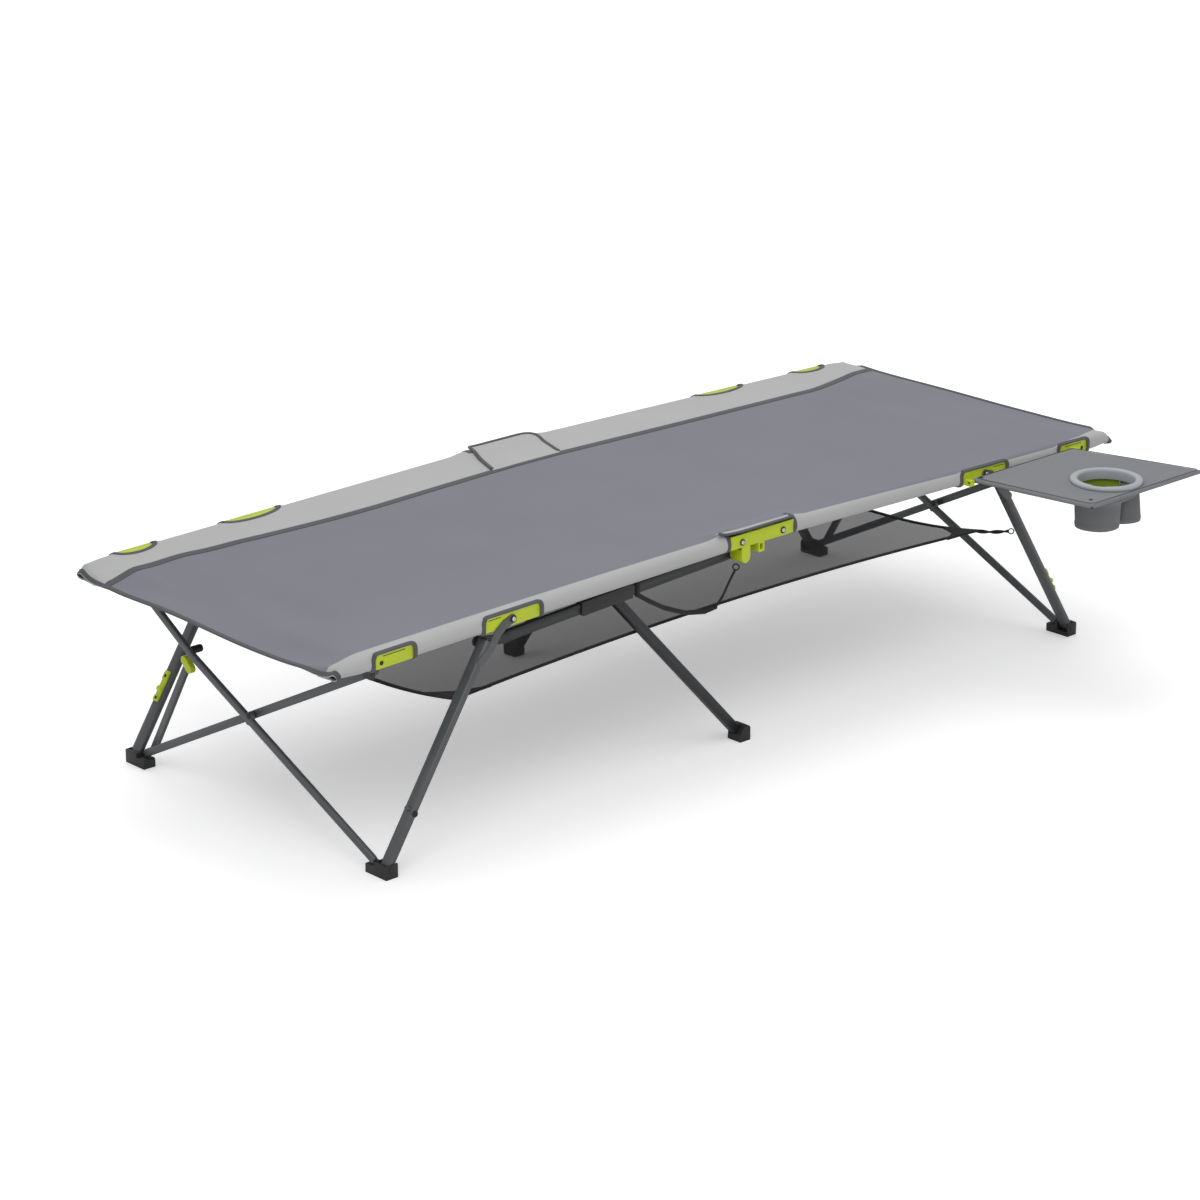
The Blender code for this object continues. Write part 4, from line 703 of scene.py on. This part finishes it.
for row, low, high, material in (("near", -0.3790, -FOLD_EDGE, dark_cloth),
                                 ("far", FOLD_EDGE, 0.3850, pale_cloth)):
    patch = cloth_panel(f"{row}_hub_cloth", stations(-HUB_SPAN, HUB_SPAN, 0.010, (-BED_SPLIT, BED_SPLIT)),
                        [low, math.copysign(HUB_CUT, low), high], [4, 4], material, f"{row}_hub",
                        keep_face=lambda x, s: abs(x) < BED_SPLIT or abs(s) > HUB_CUT)


def rounded_outline(corners, radii, steps=6):
    """A closed outline through corners, each rounded to its own radius."""
    found = []
    for i, here in enumerate(corners):
        here = Vector(here)
        if not radii[i]:
            found.append(tuple(here))
            continue
        back = (Vector(corners[i - 1]) - here).normalized()
        ahead = (Vector(corners[(i + 1) % len(corners)]) - here).normalized()
        reach = radii[i] / math.tan(back.angle(ahead) / 2)
        start, stop = here + back * reach, here + ahead * reach
        for k in range(steps + 1):
            t = k / steps
            found.append(tuple(start * (1 - t) ** 2 + here * 2 * t * (1 - t) + stop * t * t))
    return found


def resampled(outline, step):
    """The outline with points no further apart than step."""
    found = []
    for a, b in zip(outline, outline[1:] + outline[:1]):
        a, b = Vector(a), Vector(b)
        count = max(1, math.ceil((b - a).length / step))
        found += [tuple(a + (b - a) * i / count) for i in range(count)]
    return found


def filled(outline, centre, rings, height_of, inner=None):
    """A flat-sided sheet inside an outline, in rings round its centre or round an inner outline."""
    centre = Vector(centre)
    count = len(outline)
    if sum(a[0] * b[1] - b[0] * a[1] for a, b in zip(outline, outline[1:] + outline[:1])) > 0:
        outline = outline[::-1]
    points, faces = [], []
    for ring in range(rings + 1):
        share = ring / rings
        for i, edge in enumerate(outline):
            start = Vector(inner[i]) if inner else centre
            if not inner and ring == 0:
                continue
            x, y = start + (Vector(edge) - start) * share
            points.append(Vector((x, y, height_of(x, y))))
    if not inner:
        points.append(Vector((centre.x, centre.y, height_of(*centre))))
        faces = [[(i + 1) % count, i, len(points) - 1] for i in range(count)]
    rows = rings + 1 if inner else rings
    faces += grid_faces(rows, count, round_columns=True)
    return points, faces


FLAP_TAPE, FLAP_TAPE_THICK = 0.0075, 0.0034


def flap_height(x, y):
    """The flap rests on the strip beneath it and on the hub's flat top."""
    side, w = (1 if y > MIDDLE_Y else -1), abs(y - MIDDLE_Y)
    under = cloth_place(side * min(w, RAIL_SIDE), max(min(x, 0.098), -0.088)).z
    lifted = 0.0022 + 0.0035 * ease(-x, 0.05, 0.12) * ease(w, 0.30, 0.37)
    return under + lifted


for row, side, corners, radii, sewn_line in (
        ("far", 1, ((-0.120, 0.259), (0.064, 0.259), (0.098, 0.386), (-0.076, 0.386)),
         (0, 0, 0.030, 0.008), 0.2615),
        ("near", -1, ((0.084, 0.377), (-0.112, 0.3745), (-0.100, 0.3925), (0.084, 0.3925)),
         (0, 0, 0.006, 0.006), 0.3785)):
    outline = resampled(rounded_outline([(x, MIDDLE_Y + side * v) for x, v in corners], radii), 0.008)
    centre = np.mean(np.array(outline), axis=0)
    flap = thicken(mesh_piece(f"{row}_flap", [filled(outline, centre, 8, flap_height)], pale_cloth,
                              f"{row}_hub", sharp=80), CLOTH)
    size = np.ptp(np.array(outline), axis=0)
    edge = [p for p in outline if side * (p[1] - (MIDDLE_Y + side * sewn_line)) > 0]
    first = max(range(len(edge)), key=lambda i: math.dist(edge[i - 1], edge[i]))
    places = [Vector((x, y, flap_height(x, y) + 0.0004)) for x, y in edge[first:] + edge[:first]]
    binding = ribbon(places, [Vector((0, 0, 1))] * len(places), FLAP_TAPE, FLAP_TAPE_THICK)
    mesh_piece(f"{row}_flap_binding", [binding], band_cloth, f"{row}_hub")

# The shelf beneath the bed is a sheet of fine black net with a taped edge. Webbing at its
# corners ties it to the legs. On each side a hook hangs it from the hub, and a strap from the
# support bar.

SHELF_LENGTH, SHELF_SIDE, SHELF_DIP = 0.725, 0.316, 0.030
SHELF_ENDS, SHELF_MIDDLE = HUB_HEIGHT - 0.170, HUB_HEIGHT - 0.148


def net_height(x, y):
    """Slung from its corners and the hubs, low along the middle."""
    edge = SHELF_MIDDLE + (SHELF_ENDS - SHELF_MIDDLE) * (x / SHELF_LENGTH) ** 2
    v = min(abs(y - MIDDLE_Y) / SHELF_SIDE, 1.0)
    slack = 0.0025 * noise.noise(Vector((x * 6, y * 7, 2.0))) * (1 - v ** 2)
    return edge - SHELF_DIP * (1 - v ** 2) + slack


net = finish("black_net", (72, 72, 75), 0.8, mottle=0.10, mottle_scale=60.0, grain=500.0)
net.node_tree.nodes["Principled BSDF"].inputs["Alpha"].default_value = 0.84
webbing = woven("black_webbing", (38, 38, 40), thread=0.0016, mottle=0.12, depth=0.0002)


def hoop(centre, axis, radius, thick):
    """A small round ring of wire."""
    axis = Vector(axis).normalized()
    first = axis.orthogonal().normalized()
    second = axis.cross(first)
    rings = []
    for i in range(20):
        angle = math.tau * i / 20
        out = first * math.cos(angle) + second * math.sin(angle)
        rings.append([centre + out * (radius + thick * math.cos(turn)) + axis * thick * math.sin(turn)
                      for turn in [math.tau * k / 8 for k in range(8)]])
    return skin(rings, endless=True)


up = Vector((0, 0, 1))
for end, out in ENDS:
    xs = [out * x for x in stations(0.0, SHELF_LENGTH, 0.025)]
    ys = [MIDDLE_Y - SHELF_SIDE + 2 * SHELF_SIDE * i / 24 for i in range(25)]
    points = [Vector((x, y, net_height(x, y))) for x in xs for y in ys]
    sheet = mesh_piece(f"{end}_net", [(points, grid_faces(len(xs), len(ys)))], net, f"{end}_shelf",
                       sharp=80)
    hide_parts(f"shelf_{end}")
    crumple(sheet)
    tapes = []
    for line, width in (([(x, ys[0]) for x in xs], 0.010), ([(x, ys[-1]) for x in xs], 0.010),
                        ([(xs[-1], y) for y in ys], 0.012)):
        tapes.append(ribbon([Vector((x, y, net_height(x, y))) for x, y in line], [up] * len(line), width,
                            0.0028))
    for side in (-1, 1):
        corner = Vector((out * (SHELF_LENGTH - 0.004), MIDDLE_Y + side * (SHELF_SIDE - 0.004),
                         SHELF_ENDS - 0.001))
        leg = Vector((out * 0.7745, MIDDLE_Y + side * 0.3725, SHELF_ENDS + 0.001))
        wedge = [corner + Vector((-out * a, -side * b, c)) for a, b, c in
                 ((0, 0, 0), (0.090, 0, 0.0016), (0.034, 0.034, -0.005), (0, 0.090, -0.015))]
        tapes.append(skin([[p - up * 0.0022 for p in wedge], [p + up * 0.0020 for p in wedge]]))
        reach = leg - corner
        line = [corner + reach * (0.84 * i / 16) - up * (0.002 * math.sin(math.pi * i / 16))
                for i in range(17)]
        across = reach.cross(up).normalized()
        turn = [up * math.cos(0.42 * i) + across * math.sin(0.42 * i) for i in range(17)]
        tapes.append(ribbon(line, turn, 0.0085, 0.0034))
        tapes.append(hoop(leg - reach.normalized() * 0.0070, across, 0.0056, 0.0013))
    crumple(mesh_piece(f"{end}_net_webbing", tapes, webbing, f"{end}_shelf", sharp=50))

HOOK = ((0.033, 0.351, HUB_HEIGHT - 0.072), (0.040, 0.344, 0.345), (0.052, 0.336, 0.312),
        (0.066, 0.331, 0.292))
STRAP = ((0.060, 0.328, 0.2915), (0.095, 0.330, 0.2895), (0.150, 0.333, 0.3010), (0.215, 0.340, 0.3290),
         (0.262, 0.347, 0.3560), (0.300, 0.350, 0.3800))


def strap_line(side, marks):
    """A strap's places through marks. The far strap is the near one turned half round."""
    line = [Vector((side * u, MIDDLE_Y + side * v, z)) for u, v, z in marks]
    return [a + (b - a) * (i / 5) for a, b in zip(line, line[1:]) for i in range(5)] + [line[-1]]


for row, side in ROWS:
    lean = Vector((0, side, 0.35))
    loop = Vector((side * 0.032, MIDDLE_Y + side * 0.352, HUB_HEIGHT - 0.066))
    bar = Vector((side * 0.300, MIDDLE_Y + side * 0.350, 0.3921))
    corners = [Vector((0, a * 0.0072, b * 0.0122)) for a, b in ((-1, -1), (1, -1), (1, 1), (-1, 1))]
    for name, marks, width, body, fitting in (
            ("hook", HOOK, 0.0050, "hub", hoop(loop, (0.8, 0.6, 0), 0.0062, 0.0014)),
            ("strap", STRAP, 0.0095, "support_bar",
             ribbon([bar + c for c in corners], corners, 0.0095, 0.0020, closed=True))):
        line = strap_line(side, marks)
        mesh_piece(f"{row}_shelf_{name}", [ribbon(line, [lean] * len(line), width, 0.0026), fitting],
                   webbing, f"{row}_{body}", sharp=50)

# The side table is a cloth top stretched over a rod frame. Its hem is turned under the rods,
# and small rivets hold it at two corners.

TABLE_ROD_HEIGHT = HUB_HEIGHT - 0.014
TABLE_TOP = TABLE_ROD_HEIGHT + 0.0073
CUP_X, CUP_V = 0.778, 0.607
CORNERS = ((0.5965, 0.4040), (0.9110, 0.4040), (0.9885, 0.6875), (0.6350, 0.6875))
outline = rounded_outline([(x, MIDDLE_Y - v) for x, v in CORNERS], (0.010, 0.014, 0.008, 0.018))
outline = resampled(outline, 0.010)
cup = Vector((CUP_X, MIDDLE_Y - CUP_V))
HOLE = 0.0650
inner = [tuple(cup + (Vector(p) - cup).normalized() * HOLE) for p in outline]


def edge_distance(x, y):
    """How far inside the table's outline a point lies."""
    corners = [Vector((u, MIDDLE_Y - v)) for u, v in CORNERS]
    gaps = []
    for a, b in zip(corners, corners[1:] + corners[:1]):
        along, across = (b - a).normalized(), Vector((x, y)) - a
        gaps.append(abs(along.x * across.y - along.y * across.x))
    return min(gaps)


def table_height(x, y):
    """The cloth is taut, with a little dip between the rods and the ring."""
    inside = edge_distance(x, y)
    round_edge = 0.0030 * (1 - ease(inside, 0.0, 0.007))
    ring = ease((Vector((x, y)) - cup).length, 0.070, 0.10)
    slack = noise.noise(Vector((x * 9, y * 9, 5.0)))
    return TABLE_TOP - round_edge - ring * ease(inside, 0.005, 0.05) * (0.0012 + 0.0008 * slack)


points, faces = filled(outline, cup, 14, table_height, inner)
count, last = len(outline), len(points) - len(outline)
middle = Vector(np.mean(np.array(outline), axis=0))
TURNED_UNDER = ((1.0025, 0.0052), (1.0000, 0.0082), (0.992, 0.0090), (0.975, 0.0092))
for share, drop in TURNED_UNDER:
    for p in outline:
        points.append(Vector((*(middle + (Vector(p) - middle) * share), TABLE_TOP - drop)))
faces += [[last + i for i in face] for face in grid_faces(1 + len(TURNED_UNDER), count, round_columns=True)]
table_cloth = woven("table_polyester", (126, 127, 132))
top = thicken(mesh_piece("side_table_cloth", [(points, faces)], table_cloth, "side_table",
                         sharp=80), 0.0012)
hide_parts("side_table_top")
stitch = [middle + (Vector(p) - middle) * 0.968 for p in outline]
stitch = [Vector((p.x, p.y, table_height(p.x, p.y) + 0.0002)) for p in stitch]
mesh_piece("side_table_hem_stitch", [ribbon(stitch, [up] * count, 0.0012, 0.0012, closed=True)],
           band_cloth, "side_table")
RIVET_HEAD = ((0.0040, -0.0005), (0.0040, 0.0008), (0.0028, 0.0014), (0.0010, 0.0015))
RIVET_TAIL = ((0.0045, -0.0005), (0.0045, 0.0012), (0.0020, 0.0020))
rivets = [turned((x, MIDDLE_Y - v, TABLE_TOP - drop), (0, 0, way), profile) for x, v, drop, way, profile in (
    (0.6600, 0.6640, 0.0005, 1, RIVET_HEAD), (0.6600, 0.6640, 0.0085, -1, RIVET_TAIL),
    (0.6115, 0.4170, 0.0002, 1, RIVET_HEAD))]
mesh_piece("side_table_rivets", rivets, black_and_painted_shade, "side_table")

# The cup ring is moulded in pale grey, with a rolled lip and a notch for a mug's handle.
# The cup beneath it is sewn from grey cloth, with a small flared pocket beside it.

ring_nylon = finish("grey_ring", (170, 174, 180), 0.42, mottle=0.04)
RING_BASE, RING_SIDES = TABLE_TOP + 0.0004, 96
NOTCH_AT, NOTCH_DEPTH = math.radians(205), 0.0040


def ring_profile(angle):
    """Radius and height round the ring's section. The notch pushes the inner wall outward."""
    away = abs((angle - NOTCH_AT + math.pi) % math.tau - math.pi)
    notch = NOTCH_DEPTH * (1 - ease(away, math.radians(10), math.radians(17)))
    inner = 0.0584 + notch
    return [(inner, -0.0135), (inner - 0.0001, 0.0030), (inner + 0.0010, 0.0060), (inner + 0.0030, 0.0079),
            (0.0695, 0.0080), (0.0728, 0.0066), (0.0742, 0.0040), (0.0742, 0.0012), (0.0733, 0.0),
            (0.0662, -0.0001), (0.0640, -0.0010), (0.0640, -0.0135)]


rings = []
for i in range(RING_SIDES):
    angle = math.tau * i / RING_SIDES
    rings.append([Vector((cup.x + r * math.cos(angle), cup.y + r * math.sin(angle), RING_BASE + h))
                  for r, h in ring_profile(angle)])
ring = mesh_piece("cup_ring_lip", [skin(rings, endless=True)], ring_nylon, "side_table",
                  sharp=50)
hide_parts("cup_ring")

cup_cloth = woven("cup_polyester", (117, 118, 121), thread=0.0010)
cup_inside = woven("cup_lining", (122, 138, 40), thread=0.0010)
CUP_TOP, CUP_DEPTH, CUP_SIDES = TABLE_ROD_HEIGHT - 0.0043, 0.082, 72
CUP_MOUTH, CUP_BASE, LEAN_X, LEAN_Y = 0.0644, 0.0476, -0.0130, 0.0095


def cup_point(angle, depth, rib):
    """The cup's wall. Under its hem it narrows and leans in towards the bed."""
    under = ease(depth, 0.008, 0.030)
    r = CUP_MOUTH + (CUP_BASE - CUP_MOUTH) * under - 0.0022 * ease(depth, 0.03, CUP_DEPTH) + rib
    r += 0.0005 * math.sin(5 * angle) * ease(depth, 0.02, 0.06)
    return Vector((cup.x + LEAN_X * under + r * math.cos(angle), cup.y + LEAN_Y * under + r * math.sin(angle),
                   CUP_TOP - depth))


rings = []
for depth in (0.0, 0.006, 0.012, 0.018, 0.024, 0.030, 0.040, 0.052, 0.064, 0.0725, 0.074, 0.0755, CUP_DEPTH):
    rib = 0.0007 if 0.0735 < depth < 0.0765 else 0.0
    rings.append([cup_point(-math.tau * i / CUP_SIDES, depth, rib) for i in range(CUP_SIDES)])
base, wall = Vector((cup.x + LEAN_X, cup.y + LEAN_Y, CUP_TOP - CUP_DEPTH)), rings[-1]
rings += [[base + (p - base) * share - up * 0.0008 for p in wall] for share in (0.93, 0.6, 0.25)]
cup_piece = mesh_piece("cup_cloth", [skin(rings, first_cap=False)], cup_cloth, "side_table",
                       sharp=60)
cup_piece.data.materials.append(cup_inside)
thicken(cup_piece, 0.0016)
cup_piece.modifiers["cloth_thickness"].material_offset = 1
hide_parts("cup_pocket")

POCKET, POCKET_SIDES = Vector((0.846, MIDDLE_Y - 0.612)), 48
rings = []
for depth in (0.0, 0.010, 0.022, 0.036, 0.050, 0.064, 0.074, 0.0755, 0.077, 0.084):
    flare = ease(depth, 0.0, 0.084)
    rib = 0.03 if 0.075 < depth < 0.0775 else 0.0
    wide, deep = 0.026 + 0.007 * flare, 0.016 + 0.007 * flare
    rings.append([])
    for angle in [-math.tau * i / POCKET_SIDES for i in range(POCKET_SIDES)]:
        r = 1 + rib + 0.035 * math.sin(4 * angle + 0.6) * flare
        rings[-1].append(Vector((POCKET.x + wide * r * math.cos(angle), POCKET.y + deep * r * math.sin(angle),
                                 CUP_TOP - 0.001 - depth)))
side_pocket = thicken(mesh_piece("side_pocket_cloth", [skin(rings, first_cap=False)], cup_cloth, "side_table",
                                 sharp=60), 0.0014)
